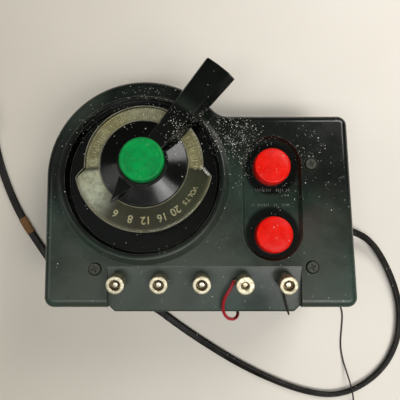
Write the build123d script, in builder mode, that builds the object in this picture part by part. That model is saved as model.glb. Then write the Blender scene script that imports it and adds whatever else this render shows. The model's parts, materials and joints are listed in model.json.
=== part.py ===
"""Toy-train transformer and speed controller, in millimetres.

The operator stands at +Y, the binding posts are along the rear (-Y), +Z is up and z = 0 is the table.
The top panel falls 9 degrees toward the operator, and the dial, the lever and the buttons stand square
on it, so most pieces are drawn on PANEL, whose u runs along X, v runs up the slope and h stands square.
"""
from build123d import *
import math
import os

os.makedirs("parts", exist_ok=True)

# ---------------------------------------------------------------- driving dimensions
PLAN_X, PLAN_Y = 0.2, -7.8           # plan origin, so that the object is centred on x = y = 0
PANEL_SLOPE = 9.0                   # fall of the top panel toward the operator, degrees
PANEL_Z = 69.0                      # height of the panel at the plan origin
LEDGE_SLOPE = 5.0                   # fall of the terminal ledge toward the rear, degrees
WALL = 2.8                          # moulded wall thickness
FOOT_HEIGHT = 4.0
SKIRT_Z = 2.0                       # lower edge of the case wall

CASE_REAR, CASE_FRONT = -63.3, 51.6
CASE_LEFT, CASE_RIGHT = -91.9, 93.2
CASE_FRONT_RIGHT = 90.8
LOBE_X, LOBE_Y, LOBE_R = -34.3, 14.6, 59.1
CORNER_R, BLEND_R, EDGE_R = 6.0, 13.0, 4.5

LEDGE_Y = -39.0                     # ridge where the ledge leaves the panel
LEDGE_LEFT, LEDGE_RIGHT = -54.6, 59.9
LEDGE_REAR = -66.6
LEDGE_THICK = 3.0
LEDGE_CHAMFER = 3.6
LEDGE_SKIRT_Z = 56.0

TURRET = (-33.9, 13.2)
TURRET_BASE_R, TURRET_TOP_R, RIM_H, RIM_ROUND = 52.0, 48.9, 7.5, 1.2
TROUGH_FLOOR_R, TROUGH_STEP_R, TROUGH_H = 44.2, 47.4, 0.8
TROUGH_DRAFT = 12.0
STEP_FROM, STEP_TO = 30.0, 140.0    # part of the trough that is stepped outward
DIAL = (-32.6, 19.9)                # axis of dial, hub, lever and shaft
DECK_R, DECK_NARROW_R, DECK_H = 39.6, 34.0, 9.0
BUSHING_R, BUSHING_FLANGE_R = 6.0, 9.0
RING_R, RING_NARROW_R, RING_BORE_R, RING_TOP = 40.0, 34.4, 25.6, 12.6
WIDE_FROM, WIDE_TO = 187.0, 354.0   # the part of the dial that carries the figures
WIDE_SLANT = 5.0                    # half the angle over which its ends slant, degrees
PLATE_THICK = 0.5
FIT = 0.05                          # clearance round a turning or fitted piece

LEVER_ANGLE = 51.8
LEVER_REACH = 73.0
LEVER_ROOT_HALF, LEVER_TIP_HALF = 7.3, 10.7     # half widths of the arm's underside
LEVER_UNDER, LEVER_TOP, LEVER_DRAFT = 13.3, 22.0, 17.0
HUB_R, HUB_H, HUB_EDGE, HUB_CONE, HUB_CONE_SLOPE = 25.0, 9.9, 3.1, 4.0, 69.0
POINTER_ROOT, POINTER_TIP, POINTER_HALF, POINTER_THICK = 14.0, 30.5, 6.5, 4.0
LENS_R, LENS_H, LENS_TOP = 12.6, 18.2, 24.0
LAMP_WELL_R, LAMP_WELL_DEPTH, SOCKET_H, LAMP_H = 9.5, 6.0, 3.0, 6.0
SHAFT_R = 3.2
TRACK_RADIUS = 16.0                 # from the shaft axis to the roller
TRACK_H = -14.2
ROLLER_R, ROLLER_W = 3.0, 5.0
ROLLER_GAP = 0.3
ROLLER_ANGLE = 190.0
SWEEP = 80.0

BUTTONS = ((43.4, 20.2), (43.8, -20.9))
BUTTON_R, BUTTON_TOP, BUTTON_FLOOR = 10.9, 5.0, -3.2
BUTTON_STEM_R, BUTTON_BORE_R, BUTTON_BORE_H = 2.4, 8.0, 9.0
RECESS = (43.5, 1.5)
RECESS_W, RECESS_L = 36.0, 76.0
RECESS_BANK, RECESS_TAPER = 4.0, -32.0          # both sides' slope together, and its angle
FLANGE_R, FLANGE_THICK = 12.6, 1.6
SPRING_R, SPRING_WIRE, SPRING_TURNS = 6.0, 0.8, 5
SWITCH_H, SWITCH_THICK = -22.0, 2.0

SCREWS = ((67.2, 21.9), (66.2, -39.8), (-61.8, -40.9))
SCREW_R, SCREW_SINK, SCREW_SHANK_R = 3.8, 0.9, 1.45
EJECTOR_MARK = (14.5, -29.2)
EJECTOR_MARK_R, EJECTOR_MARK_WIDTH, EJECTOR_MARK_DEPTH = 6.0, 0.4, 0.25

POSTS = [1.0 + 24.7 * step for step in (-2, -1, 0, 1, 2)]
POST_V = -8.1                       # behind the ridge, on the ledge
EYE_POSTS = (3, 4)                  # posts with a wire eye under the washer
STUD_R = 2.05
COLLAR_R, COLLAR_H = 5.1, 1.6
HEX_FLAT, HEX_H = 8.0, 1.6
WASHER_R, WASHER_H = 4.7, 0.8
NUT_R, NUT_H = 5.4, 7.0
NUT_BORE_R, NUT_BORE_FROM = 3.1, 3.6
STUD_RISE = 6.6                     # of a stud's end above its base nut
FLAT_NUT = 3                        # this post's nut has no counterbore
EYE_WIRE = 1.0

CORE = (-36.0, 6.0)
CORE_U, CORE_V = 66.0, 54.0
CORE_TOP, CORE_BOTTOM = -22.5, -49.5
COIL_U, COIL_V = 42.0, 30.0
COIL_TOP, COIL_BOTTOM = -14.8, -57.0
LEG_U = 22.0
BASE_Z, BASE_THICK = 4.0, 1.2

CORD_D = 5.6
CORD_EXIT_Y, CORD_EXIT_Z, CORD_HOLE_R = -19.0, 12.0, 5.2
BOOT_TIP = Vector(15.5, -4.5, -1.5)     # from the middle of the hole to the end of the boot
BOOT_TIP_R = 3.7
CORD_THICK = 3.1                    # the real cord is flat, and the coil's layers are this high
COIL_TURN_D, COIL_LAYERS, COIL_COLUMNS = 57.0, 3, 2
COIL_CENTRE = (-187.0, 58.0)
TAPE_POINT, TAPE_W, TAPE_THICK = 23, 9.0, 0.35
PLUG_W, PLUG_T, PLUG_L, PLUG_NECK = 20.0, 13.0, 28.0, 10.0
PLUG_OFFSET = (-35.0, -13.0)        # from the coil's centre to the middle of the plug's rear face
BLADE_PITCH, BLADE_L = 12.7, 16.0
RED_D, BLACK_D = 2.0, 1.1
BLACK_COIL_D = 10.9
BLACK_COIL_CENTRE = (124.6, -172.0)

# ---------------------------------------------------------------- planes
SLOPE = math.radians(PANEL_SLOPE)
FALL = math.radians(LEDGE_SLOPE)
PLAN = Plane((PLAN_X, PLAN_Y, 0))
PANEL = Plane(
    origin=(PLAN_X, PLAN_Y, PANEL_Z),
    x_dir=(1, 0, 0),
    z_dir=(0, math.sin(SLOPE), math.cos(SLOPE)),
)
LEDGE = Plane(
    origin=(PLAN_X, PLAN_Y + LEDGE_Y, PANEL_Z - LEDGE_Y * math.tan(SLOPE)),
    x_dir=(1, 0, 0),
    z_dir=(0, -math.sin(FALL), math.cos(FALL)),
)
PANEL_AXIS = Axis(PANEL.origin, PANEL.z_dir)
LEDGE_AXIS = Axis(LEDGE.origin, LEDGE.z_dir)


def finish(piece, name):
    """Label a finished piece and write it."""
    piece.part.label = name
    export_step(piece.part, f"parts/{name}.step")


def polar(radius, angle, centre=(0.0, 0.0)):
    """Point at an angle in degrees round a centre."""
    turn = math.radians(angle)
    return (centre[0] + radius * math.cos(turn), centre[1] + radius * math.sin(turn))


def case_plan(inset):
    """Plan of the case: a rectangle with a round lobe at its front left, the left side tangent to it."""
    away = math.hypot(CASE_LEFT - LOBE_X, CASE_REAR - LOBE_Y)
    toward = math.atan2(LOBE_Y - CASE_REAR, LOBE_X - CASE_LEFT)
    tangent = toward + math.asin(LOBE_R / away)
    reach = math.sqrt(away**2 - LOBE_R**2)
    touch = (CASE_LEFT + reach * math.cos(tangent), CASE_REAR + reach * math.sin(tangent))
    with BuildSketch() as plan:
        with BuildLine():
            Polyline(
                touch,
                (CASE_LEFT, CASE_REAR),
                (CASE_RIGHT, CASE_REAR),
                (CASE_FRONT_RIGHT, CASE_FRONT),
                (LOBE_X, CASE_FRONT),
                (LOBE_X, LOBE_Y),
                close=True,
            )
        make_face()
        fillet(plan.vertices().group_by(Axis.Y)[0] + plan.vertices().filter_by(
            lambda corner: corner.X > CASE_RIGHT - 5 and corner.Y > 0), CORNER_R)
        with Locations((LOBE_X, LOBE_Y)):
            Circle(LOBE_R)
        fillet(plan.vertices().filter_by(
            lambda corner: abs(corner.Y - CASE_FRONT) < 1 and abs(corner.X) < 40), BLEND_R)
        if inset:
            offset(amount=-inset, kind=Kind.INTERSECTION)
    return plan.sketch


def block_between(plan_face, low, high, under=None, over=None):
    """Upright block on a plan face, cut off by the planes under and over which it lies."""
    with BuildPart() as block:
        with BuildSketch(PLAN.offset(low)):
            add(plan_face)
        extrude(amount=high - low)
        if under:
            split(bisect_by=under, keep=Keep.BOTTOM)
        if over:
            split(bisect_by=over, keep=Keep.TOP)
    return block.part


def rectangle_plan(left, right, rear, front):
    """Rectangle given by its four sides."""
    with BuildSketch() as plan:
        with Locations(((left + right) / 2, (rear + front) / 2)):
            Rectangle(right - left, front - rear)
    return plan.sketch


def disc(plane, centre, radius, low, high, bore=0.0):
    """Disc or ring standing square on a plane."""
    with BuildPart() as piece:
        with BuildSketch(plane.offset(low)):
            with Locations(centre):
                Circle(radius)
                if bore:
                    Circle(bore, mode=Mode.SUBTRACT)
        extrude(amount=high - low)
    return piece.part


def dial_face(wide, narrow, bore):
    """Dial outline: a narrow ring in front and a wider band behind, with slanted ends."""
    with BuildSketch() as face:
        Circle(narrow)
        with BuildLine():
            Line(polar(narrow - 2, WIDE_FROM - WIDE_SLANT), polar(wide, WIDE_FROM + WIDE_SLANT))
            ThreePointArc(
                polar(wide, WIDE_FROM + WIDE_SLANT),
                polar(wide, (WIDE_FROM + WIDE_TO) / 2),
                polar(wide, WIDE_TO - WIDE_SLANT),
            )
            Line(polar(wide, WIDE_TO - WIDE_SLANT), polar(narrow - 2, WIDE_TO + WIDE_SLANT))
            Line(polar(narrow - 2, WIDE_TO + WIDE_SLANT), polar(narrow - 2, WIDE_FROM - WIDE_SLANT))
        make_face()
        fillet(face.vertices(), 1.5)
        if bore:
            Circle(bore, mode=Mode.SUBTRACT)
    return face.sketch


def band_sector(inner, outer, start, end):
    """Part of a flat ring between two angles."""
    middle = (start + end) / 2
    with BuildSketch() as band:
        with BuildLine():
            ThreePointArc(polar(outer, start), polar(outer, middle), polar(outer, end))
            Line(polar(outer, end), polar(inner, end))
            ThreePointArc(polar(inner, end), polar(inner, middle), polar(inner, start))
            Line(polar(inner, start), polar(outer, start))
        make_face()
    return band.sketch


# ---------------------------------------------------------------- case
cavity = block_between(case_plan(WALL), SKIRT_Z - 1, 100, under=PANEL.offset(-WALL))
notch = block_between(
    rectangle_plan(LEDGE_LEFT, LEDGE_RIGHT, -90, LEDGE_Y), 40, 100, over=LEDGE.offset(-LEDGE_THICK)
)
shelf = block_between(
    rectangle_plan(LEDGE_LEFT - WALL, LEDGE_RIGHT + WALL, -90, LEDGE_Y + WALL),
    40,
    100,
    over=LEDGE.offset(-LEDGE_THICK - WALL),
)

with BuildPart() as hollow:
    add(cavity)
    add(shelf, mode=Mode.SUBTRACT)

with BuildPart() as case_cover:
    add(block_between(case_plan(0), SKIRT_Z, 100, under=PANEL))
    fillet(faces().sort_by(PANEL_AXIS)[-1].outer_wire().edges(), EDGE_R)
    with BuildSketch(PANEL):
        with Locations(TURRET):
            Circle(TURRET_BASE_R)
    extrude(amount=RIM_H, taper=math.degrees(math.atan((TURRET_BASE_R - TURRET_TOP_R) / RIM_H)))
    fillet(faces().sort_by(PANEL_AXIS)[-1].outer_wire().edges(), RIM_ROUND)
    # moat between the rim and the dial deck, stepped outward in front
    with BuildSketch(PANEL.offset(TROUGH_H)):
        with Locations(TURRET):
            Circle(TROUGH_FLOOR_R)
    extrude(amount=RIM_H, taper=-TROUGH_DRAFT, mode=Mode.SUBTRACT)
    with BuildSketch(PANEL.offset(TROUGH_H + 2)):
        with BuildLine():
            Polyline(
                TURRET,
                polar(TROUGH_STEP_R + 20, STEP_FROM, TURRET),
                polar(TROUGH_STEP_R + 60, (STEP_FROM + STEP_TO) / 2, TURRET),
                polar(TROUGH_STEP_R + 20, STEP_TO, TURRET),
                close=True,
            )
        make_face()
        with Locations(TURRET):
            Circle(TROUGH_STEP_R, mode=Mode.INTERSECT)
    extrude(amount=RIM_H, mode=Mode.SUBTRACT)
    with BuildSketch(PANEL):
        with Locations(DIAL):
            add(dial_face(DECK_R, DECK_NARROW_R, 0))
    extrude(amount=DECK_H)
    # recess round the buttons, with sloped sides
    with BuildSketch(PANEL.offset(BUTTON_FLOOR)):
        with Locations(RECESS):
            SlotOverall(RECESS_L - RECESS_BANK, RECESS_W - RECESS_BANK, rotation=90)
    extrude(amount=-2 * BUTTON_FLOOR, taper=RECESS_TAPER, mode=Mode.SUBTRACT)
    add(hollow.part, mode=Mode.SUBTRACT)
    # the recess floor keeps the wall's thickness inside
    with BuildSketch(PANEL.offset(BUTTON_FLOOR)):
        with Locations(RECESS):
            SlotOverall(RECESS_L - 1.5, RECESS_W - 1.5, rotation=90)
    extrude(amount=-WALL)
    with BuildSketch(PANEL.offset(-20)):
        with Locations(*BUTTONS):
            Circle(BUTTON_R + 0.35)
    extrude(amount=30, mode=Mode.SUBTRACT)
    # the dial deck is hollow below
    with BuildSketch(PANEL.offset(-WALL)):
        with Locations(DIAL):
            Circle(DECK_NARROW_R - WALL)
    extrude(amount=DECK_H, mode=Mode.SUBTRACT)
    with BuildSketch(PANEL.offset(-WALL)):
        with Locations(DIAL):
            Circle(BUSHING_R)
    extrude(amount=WALL + DECK_H + 5, mode=Mode.SUBTRACT)
    add(notch, mode=Mode.SUBTRACT)
    # shallow counterbores and holes for the cover screws
    with BuildSketch(PANEL.offset(-SCREW_SINK)):
        with Locations(*SCREWS):
            Circle(SCREW_R + 0.4)
    extrude(amount=5, mode=Mode.SUBTRACT)
    with BuildSketch(PANEL.offset(-16)):
        with Locations(*SCREWS):
            Circle(SCREW_SHANK_R + 0.3)
    extrude(amount=18, mode=Mode.SUBTRACT)
    with BuildSketch(LEDGE.offset(-LEDGE_THICK - WALL - 1)):
        with Locations(*[(u, POST_V) for u in POSTS]):
            Circle(STUD_R + FIT)
    extrude(amount=LEDGE_THICK + WALL + 1, mode=Mode.SUBTRACT)
    # moulded witness mark of the ejector pin
    with BuildSketch(PANEL.offset(-EJECTOR_MARK_DEPTH)):
        with Locations(EJECTOR_MARK):
            Circle(EJECTOR_MARK_R)
            Circle(EJECTOR_MARK_R - EJECTOR_MARK_WIDTH, mode=Mode.SUBTRACT)
    extrude(amount=1, mode=Mode.SUBTRACT)

CASE_SIDE_X = CASE_RIGHT + (CASE_FRONT_RIGHT - CASE_RIGHT) * (
    (CORD_EXIT_Y - CASE_REAR) / (CASE_FRONT - CASE_REAR)
)
CORD_HOLE = Plane(
    origin=(PLAN_X + CASE_SIDE_X, PLAN_Y + CORD_EXIT_Y, CORD_EXIT_Z), x_dir=(0, 1, 0), z_dir=(1, 0, 0)
)
with BuildPart() as cord_hole:
    with BuildSketch(CORD_HOLE.offset(-8)):
        Circle(CORD_HOLE_R)
    extrude(amount=14)
with BuildPart() as case_bored:
    add(case_cover.part)
    add(cord_hole.part, mode=Mode.SUBTRACT)
finish(case_bored, "case_cover")

with BuildPart() as terminal_strip:
    with BuildSketch(PLAN.offset(LEDGE_SKIRT_Z)) as strip_plan:
        add(rectangle_plan(LEDGE_LEFT, LEDGE_RIGHT, LEDGE_REAR, LEDGE_Y))
        chamfer(strip_plan.vertices().group_by(Axis.Y)[0], LEDGE_CHAMFER)
    extrude(amount=60)
    split(bisect_by=LEDGE, keep=Keep.BOTTOM)
    rear_edges = faces().sort_by(LEDGE_AXIS)[-1].edges().filter_by(
        lambda edge: edge.center().Y < PLAN_Y + CASE_REAR)
    fillet(rear_edges, 1.4)
    add(
        block_between(
            rectangle_plan(LEDGE_LEFT - 1, LEDGE_RIGHT + 1, CASE_REAR, LEDGE_Y + 1),
            LEDGE_SKIRT_Z - 1,
            120,
            under=LEDGE.offset(-LEDGE_THICK),
        ),
        mode=Mode.SUBTRACT,
    )
    with BuildSketch(LEDGE.offset(-LEDGE_THICK - 1)):
        with Locations(*[(u, POST_V) for u in POSTS]):
            Circle(STUD_R + FIT)
    extrude(amount=LEDGE_THICK + 2, mode=Mode.SUBTRACT)
finish(terminal_strip, "terminal_strip")

with BuildPart() as base_plate:
    with BuildSketch(PLAN.offset(BASE_Z)):
        add(case_plan(WALL + 0.2))
    extrude(amount=BASE_THICK)
finish(base_plate, "base_plate")

FEET = ((-76, -50), (77, -50), (74, 36), (-50, 54))
with BuildPart() as rubber_feet:
    with BuildSketch(PLAN):
        with Locations(*FEET):
            Circle(6.0)
    extrude(amount=FOOT_HEIGHT, taper=-8)
    fillet(rubber_feet.edges().group_by(Axis.Z)[0], 0.8)
finish(rubber_feet, "rubber_feet")

PILLAR_TOP = -WALL
with BuildPart() as screw_pillars:
    with BuildSketch(PANEL.offset(PILLAR_TOP)):
        with Locations(*SCREWS):
            Circle(3.6)
    extrude(amount=-90)
    split(bisect_by=PLAN.offset(BASE_Z + BASE_THICK), keep=Keep.TOP)
    with BuildSketch(PANEL.offset(PILLAR_TOP)):
        with Locations(*SCREWS):
            Circle(SCREW_SHANK_R + FIT)
    extrude(amount=-14, mode=Mode.SUBTRACT)
    add(shelf, mode=Mode.SUBTRACT)
finish(screw_pillars, "screw_pillars")

with BuildPart() as cover_screws:
    for centre in SCREWS:
        add(disc(PANEL, centre, SCREW_SHANK_R, -13, -SCREW_SINK))
        with BuildSketch(PANEL.offset(-SCREW_SINK)):
            with Locations(centre):
                Circle(SCREW_R)
        extrude(amount=2.0, taper=18)
    for turn in (0, 90):
        with BuildSketch(PANEL.offset(0.1)):
            with Locations(*SCREWS):
                Rectangle(3.6, 0.7, rotation=turn + 20)
        extrude(amount=2, mode=Mode.SUBTRACT)
finish(cover_screws, "cover_screws")

# ---------------------------------------------------------------- dial
with BuildPart() as dial_plate:
    with BuildSketch(PANEL.offset(DECK_H)):
        with Locations(DIAL):
            add(dial_face(DECK_R - 0.3, DECK_NARROW_R - 0.3, RING_BORE_R))
    extrude(amount=PLATE_THICK)
finish(dial_plate, "dial_plate")

with BuildPart() as dial_ring:
    with BuildSketch(PANEL.offset(DECK_H + PLATE_THICK)):
        with Locations(DIAL):
            add(dial_face(RING_R, RING_NARROW_R, RING_BORE_R))
    extrude(amount=RING_TOP - DECK_H - PLATE_THICK)
    fillet(faces().sort_by(PANEL_AXIS)[-1].outer_wire().edges(), 0.9)
finish(dial_ring, "dial_ring")

with BuildPart() as shaft_bushing:
    add(disc(PANEL, DIAL, BUSHING_R, -1.0, DECK_H, bore=SHAFT_R + FIT))
    add(disc(PANEL, DIAL, BUSHING_FLANGE_R, DECK_H - WALL - 1.8, DECK_H - WALL, bore=SHAFT_R + FIT))
finish(shaft_bushing, "shaft_bushing")

# ---------------------------------------------------------------- lever body
LEVER = Plane(
    origin=PANEL.from_local_coords((DIAL[0], DIAL[1], 0)),
    x_dir=PANEL.x_dir.rotate(Axis((0, 0, 0), PANEL.z_dir), LEVER_ANGLE),
    z_dir=PANEL.z_dir,
)
with BuildPart() as lever_handle:
    with BuildSketch(LEVER.offset(HUB_H)):
        Circle(HUB_R)
    extrude(amount=HUB_EDGE)
    with BuildSketch(LEVER.offset(HUB_H + HUB_EDGE)):
        Circle(HUB_R)
    extrude(amount=HUB_CONE, taper=HUB_CONE_SLOPE)
    with BuildSketch(LEVER.offset(HUB_H)):
        Circle(LENS_R + 1.6)
    extrude(amount=LENS_H - HUB_H, taper=3)
    with BuildSketch(LEVER.offset(LEVER_UNDER)):
        with BuildLine():
            Polyline(
                (6, -LEVER_ROOT_HALF),
                (LEVER_REACH - 0.4, -LEVER_TIP_HALF),
                (LEVER_REACH, 0),
                (LEVER_REACH - 0.4, LEVER_TIP_HALF),
                (6, LEVER_ROOT_HALF),
                close=True,
            )
        make_face()
    extrude(amount=LEVER_TOP - LEVER_UNDER, taper=LEVER_DRAFT)
    arm_edges = lever_handle.edges().filter_by(
        lambda edge: LEVER.to_local_coords(edge.center()).X > LENS_R + 4
        and LEVER.to_local_coords(edge.center()).Z > LEVER_UNDER + 1)
    fillet(arm_edges, 1.0)
    # pointer opposite the arm
    with BuildSketch(LEVER.offset(RING_TOP + 0.5)):
        with BuildLine():
            Polyline(
                (-POINTER_ROOT, -POINTER_HALF), (-POINTER_ROOT, POINTER_HALF), (-POINTER_TIP, 0), close=True
            )
        make_face()
    extrude(amount=POINTER_THICK, taper=12)
    # seat for lens and lamp
    with BuildSketch(LEVER.offset(LENS_H - LAMP_WELL_DEPTH)):
        Circle(LAMP_WELL_R)
    extrude(amount=20, mode=Mode.SUBTRACT)
    with BuildSketch(LEVER.offset(LENS_H)):
        Circle(LENS_R + FIT)
    extrude(amount=20, mode=Mode.SUBTRACT)
    with BuildSketch(LEVER):
        Circle(SHAFT_R)
    extrude(amount=40, mode=Mode.SUBTRACT)
finish(lever_handle, "lever_handle")

with BuildPart() as lens_cap:
    with BuildSketch(LEVER.offset(LENS_H)):
        Circle(LENS_R)
    extrude(amount=LENS_TOP - LENS_H)
    fillet(faces().sort_by(PANEL_AXIS)[-1].outer_wire().edges(), 2.0)
    with BuildSketch(LEVER.offset(LENS_H)):
        Circle(LAMP_WELL_R)
    extrude(amount=4.0, mode=Mode.SUBTRACT)
finish(lens_cap, "lens_cap")

SOCKET_LOW = LENS_H - LAMP_WELL_DEPTH
with BuildPart() as lamp_socket:
    add(disc(LEVER, (0, 0), 6.2, SOCKET_LOW, SOCKET_LOW + SOCKET_H))
finish(lamp_socket, "lamp_socket")

with BuildPart() as pilot_lamp:
    add(disc(LEVER, (0, 0), 4.4, SOCKET_LOW + SOCKET_H, SOCKET_LOW + SOCKET_H + LAMP_H))
    fillet(faces().sort_by(PANEL_AXIS)[-1].outer_wire().edges(), 3.0)
finish(pilot_lamp, "pilot_lamp")

SHAFT_BOTTOM = -6.5
with BuildPart() as control_shaft:
    add(disc(LEVER, (0, 0), SHAFT_R, SHAFT_BOTTOM, SOCKET_LOW))
finish(control_shaft, "control_shaft")

with BuildPart() as shaft_retainer:
    add(disc(LEVER, (0, 0), 5.6, -2.2, -1.1, bore=SHAFT_R))
finish(shaft_retainer, "shaft_retainer")

ARM = Plane(
    origin=LEVER.origin,
    x_dir=PANEL.x_dir.rotate(Axis((0, 0, 0), PANEL.z_dir), ROLLER_ANGLE),
    z_dir=PANEL.z_dir,
)
ROLLER_H = TRACK_H + ROLLER_GAP + ROLLER_R
ROLLER_FROM = 1.6                   # from the fork's back to the roller, along the pin
FORK_BACK = TRACK_RADIUS - ROLLER_W / 2 - ROLLER_FROM
ARM_H, ARM_THICK = -5.8, 1.2
with BuildPart() as contact_arm:
    with BuildSketch(ARM.offset(ARM_H)):
        Circle(6.0)
        with Locations((FORK_BACK / 2, 0)):
            Rectangle(FORK_BACK, 7.0)
        Circle(SHAFT_R, mode=Mode.SUBTRACT)
    extrude(amount=ARM_THICK)
    with BuildSketch(ARM.offset(ROLLER_H - 2.2)):
        with Locations((FORK_BACK - ARM_THICK / 2, 0)):
            Rectangle(ARM_THICK, 7.0)
    extrude(amount=ARM_H + ARM_THICK - ROLLER_H + 2.2)
finish(contact_arm, "contact_arm")

PIN = Plane(
    origin=ARM.from_local_coords((FORK_BACK, 0, ROLLER_H)),
    x_dir=ARM.z_dir,
    z_dir=ARM.x_dir,
)
PIN_R = 1.0
PIN_LENGTH = ROLLER_FROM + ROLLER_W + 1.2
with BuildPart() as roller_pin:
    add(disc(PIN, (0, 0), PIN_R, 0, PIN_LENGTH))
    add(disc(PIN, (0, 0), 1.8, PIN_LENGTH, PIN_LENGTH + 0.7))
finish(roller_pin, "roller_pin")

with BuildPart() as carbon_roller:
    add(disc(PIN, (0, 0), ROLLER_R, ROLLER_FROM, ROLLER_FROM + ROLLER_W, bore=PIN_R + FIT))
finish(carbon_roller, "carbon_roller")

# ---------------------------------------------------------------- buttons and switch
CAP_BOTTOM = BUTTON_FLOOR - WALL - FLANGE_THICK
for name, centre in zip(("whistle_button", "direction_button"), BUTTONS):
    with BuildPart() as button:
        with BuildSketch(PANEL.offset(CAP_BOTTOM)):
            with Locations(centre):
                Circle(FLANGE_R)
        extrude(amount=FLANGE_THICK)
        with BuildSketch(PANEL.offset(CAP_BOTTOM)):
            with Locations(centre):
                Circle(BUTTON_R)
        extrude(amount=BUTTON_TOP - CAP_BOTTOM)
        fillet(faces().sort_by(PANEL_AXIS)[-1].outer_wire().edges(), 1.8)
        with BuildSketch(PANEL.offset(CAP_BOTTOM)):
            with Locations(centre):
                Circle(BUTTON_BORE_R)
        extrude(amount=BUTTON_BORE_H, mode=Mode.SUBTRACT)
        with BuildSketch(PANEL.offset(CAP_BOTTOM - 5)):
            with Locations(centre):
                Circle(BUTTON_STEM_R)
        extrude(amount=BUTTON_BORE_H + 5)
    finish(button, name)

SPRING_LOW = SWITCH_H + SPRING_WIRE / 2
SPRING_HIGH = CAP_BOTTOM + BUTTON_BORE_H - SPRING_WIRE / 2
for name, centre in zip(("whistle_spring", "direction_spring"), BUTTONS):
    spring_base = PANEL.from_local_coords((centre[0], centre[1], SPRING_LOW))
    pitch = (SPRING_HIGH - SPRING_LOW) / SPRING_TURNS
    with BuildPart() as spring:
        with BuildLine():
            coil_line = Helix(
                pitch, SPRING_HIGH - SPRING_LOW, SPRING_R, center=spring_base, direction=PANEL.z_dir
            )
        with BuildSketch(Plane(coil_line @ 0, z_dir=coil_line % 0)):
            Circle(SPRING_WIRE / 2)
        sweep(path=coil_line, is_frenet=True)
    finish(spring, name)

with BuildPart() as switch_plate:
    with BuildSketch(PANEL.offset(SWITCH_H)):
        with Locations(RECESS):
            RectangleRounded(34, 74, 4)
    extrude(amount=-SWITCH_THICK)
    with BuildSketch(PANEL.offset(SWITCH_H - SWITCH_THICK)):
        with Locations(RECESS):
            with GridLocations(24, 66, 2, 2):
                Circle(2.6)
    extrude(amount=-60)
    split(bisect_by=PLAN.offset(BASE_Z + BASE_THICK), keep=Keep.TOP)
finish(switch_plate, "switch_plate")

with BuildPart() as switch_contacts:
    for centre in BUTTONS:
        with BuildSketch(PANEL.offset(SWITCH_H)):
            with Locations((centre[0] + 13.2, centre[1])):
                Rectangle(3.5, 14.0)
        extrude(amount=0.6)
finish(switch_contacts, "switch_contacts")

# ---------------------------------------------------------------- transformer
CORE_PLANE = Plane(
    origin=PANEL.from_local_coords((CORE[0], CORE[1], 0)), x_dir=PANEL.x_dir, z_dir=PANEL.z_dir
)
WINDOW_U = (CORE_U - 2 * LEG_U) / 2
BOLT_INSET, BOLT_R, BOLT_NUT_R = 5.5, 2.0, 3.6
BOLT_SPOTS = [
    (x * (CORE_U / 2 - BOLT_INSET), y * (CORE_V / 2 - BOLT_INSET)) for x in (-1, 1) for y in (-1, 1)
]
with BuildPart() as core_laminations:
    with BuildSketch(CORE_PLANE.offset(CORE_BOTTOM)):
        Rectangle(CORE_U, CORE_V)
        with Locations(((LEG_U + WINDOW_U) / 2, 0), (-(LEG_U + WINDOW_U) / 2, 0)):
            Rectangle(WINDOW_U, COIL_V + 1.0, mode=Mode.SUBTRACT)
        with Locations(*BOLT_SPOTS):
            Circle(BOLT_R + 0.2, mode=Mode.SUBTRACT)
    extrude(amount=CORE_TOP - CORE_BOTTOM)
finish(core_laminations, "core_laminations")


def winding(outer_u, inner_u, top, bottom, inner_top, inner_bottom):
    """Coil wound round the centre leg, whose axis runs front to rear."""
    middle, inner_middle = (top + bottom) / 2, (inner_top + inner_bottom) / 2
    front = Plane(
        origin=CORE_PLANE.from_local_coords((0, -COIL_V / 2, middle)),
        x_dir=CORE_PLANE.x_dir,
        z_dir=CORE_PLANE.y_dir,
    )
    with BuildPart() as coil:
        with BuildSketch(front):
            RectangleRounded(outer_u, top - bottom, 3.0)
            with Locations((0, middle - inner_middle)):
                Rectangle(inner_u, inner_top - inner_bottom, mode=Mode.SUBTRACT)
        extrude(amount=COIL_V)
    return coil.part


PRIMARY_U = LEG_U + 9.0
MIDDLE_TOP, MIDDLE_BOTTOM = CORE_TOP + 3.6, CORE_BOTTOM - 3.6
with BuildPart() as primary_winding:
    add(winding(PRIMARY_U, LEG_U, MIDDLE_TOP, MIDDLE_BOTTOM, CORE_TOP, CORE_BOTTOM))
finish(primary_winding, "primary_winding")
with BuildPart() as secondary_winding:
    add(winding(COIL_U, PRIMARY_U, COIL_TOP, COIL_BOTTOM, MIDDLE_TOP, MIDDLE_BOTTOM))
finish(secondary_winding, "secondary_winding")

with BuildPart() as contact_track:
    with BuildSketch(PANEL.offset(COIL_TOP)):
        with Locations(DIAL):
            add(band_sector(TRACK_RADIUS - 3, TRACK_RADIUS + 3, ROLLER_ANGLE - 10, ROLLER_ANGLE + SWEEP + 10))
    extrude(amount=TRACK_H - COIL_TOP)
finish(contact_track, "contact_track")

with BuildPart() as core_bolts:
    for spot in BOLT_SPOTS:
        add(disc(CORE_PLANE, spot, BOLT_R, CORE_BOTTOM - 6, -WALL))
        add(disc(CORE_PLANE, spot, BOLT_NUT_R, CORE_TOP, -WALL))
finish(core_bolts, "core_bolts")

with BuildPart() as core_nuts:
    with BuildSketch(CORE_PLANE.offset(CORE_BOTTOM)):
        with Locations(*BOLT_SPOTS):
            RegularPolygon(BOLT_NUT_R, 6, major_radius=False)
            Circle(BOLT_R, mode=Mode.SUBTRACT)
    extrude(amount=-3.0)
finish(core_nuts, "core_nuts")

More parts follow.
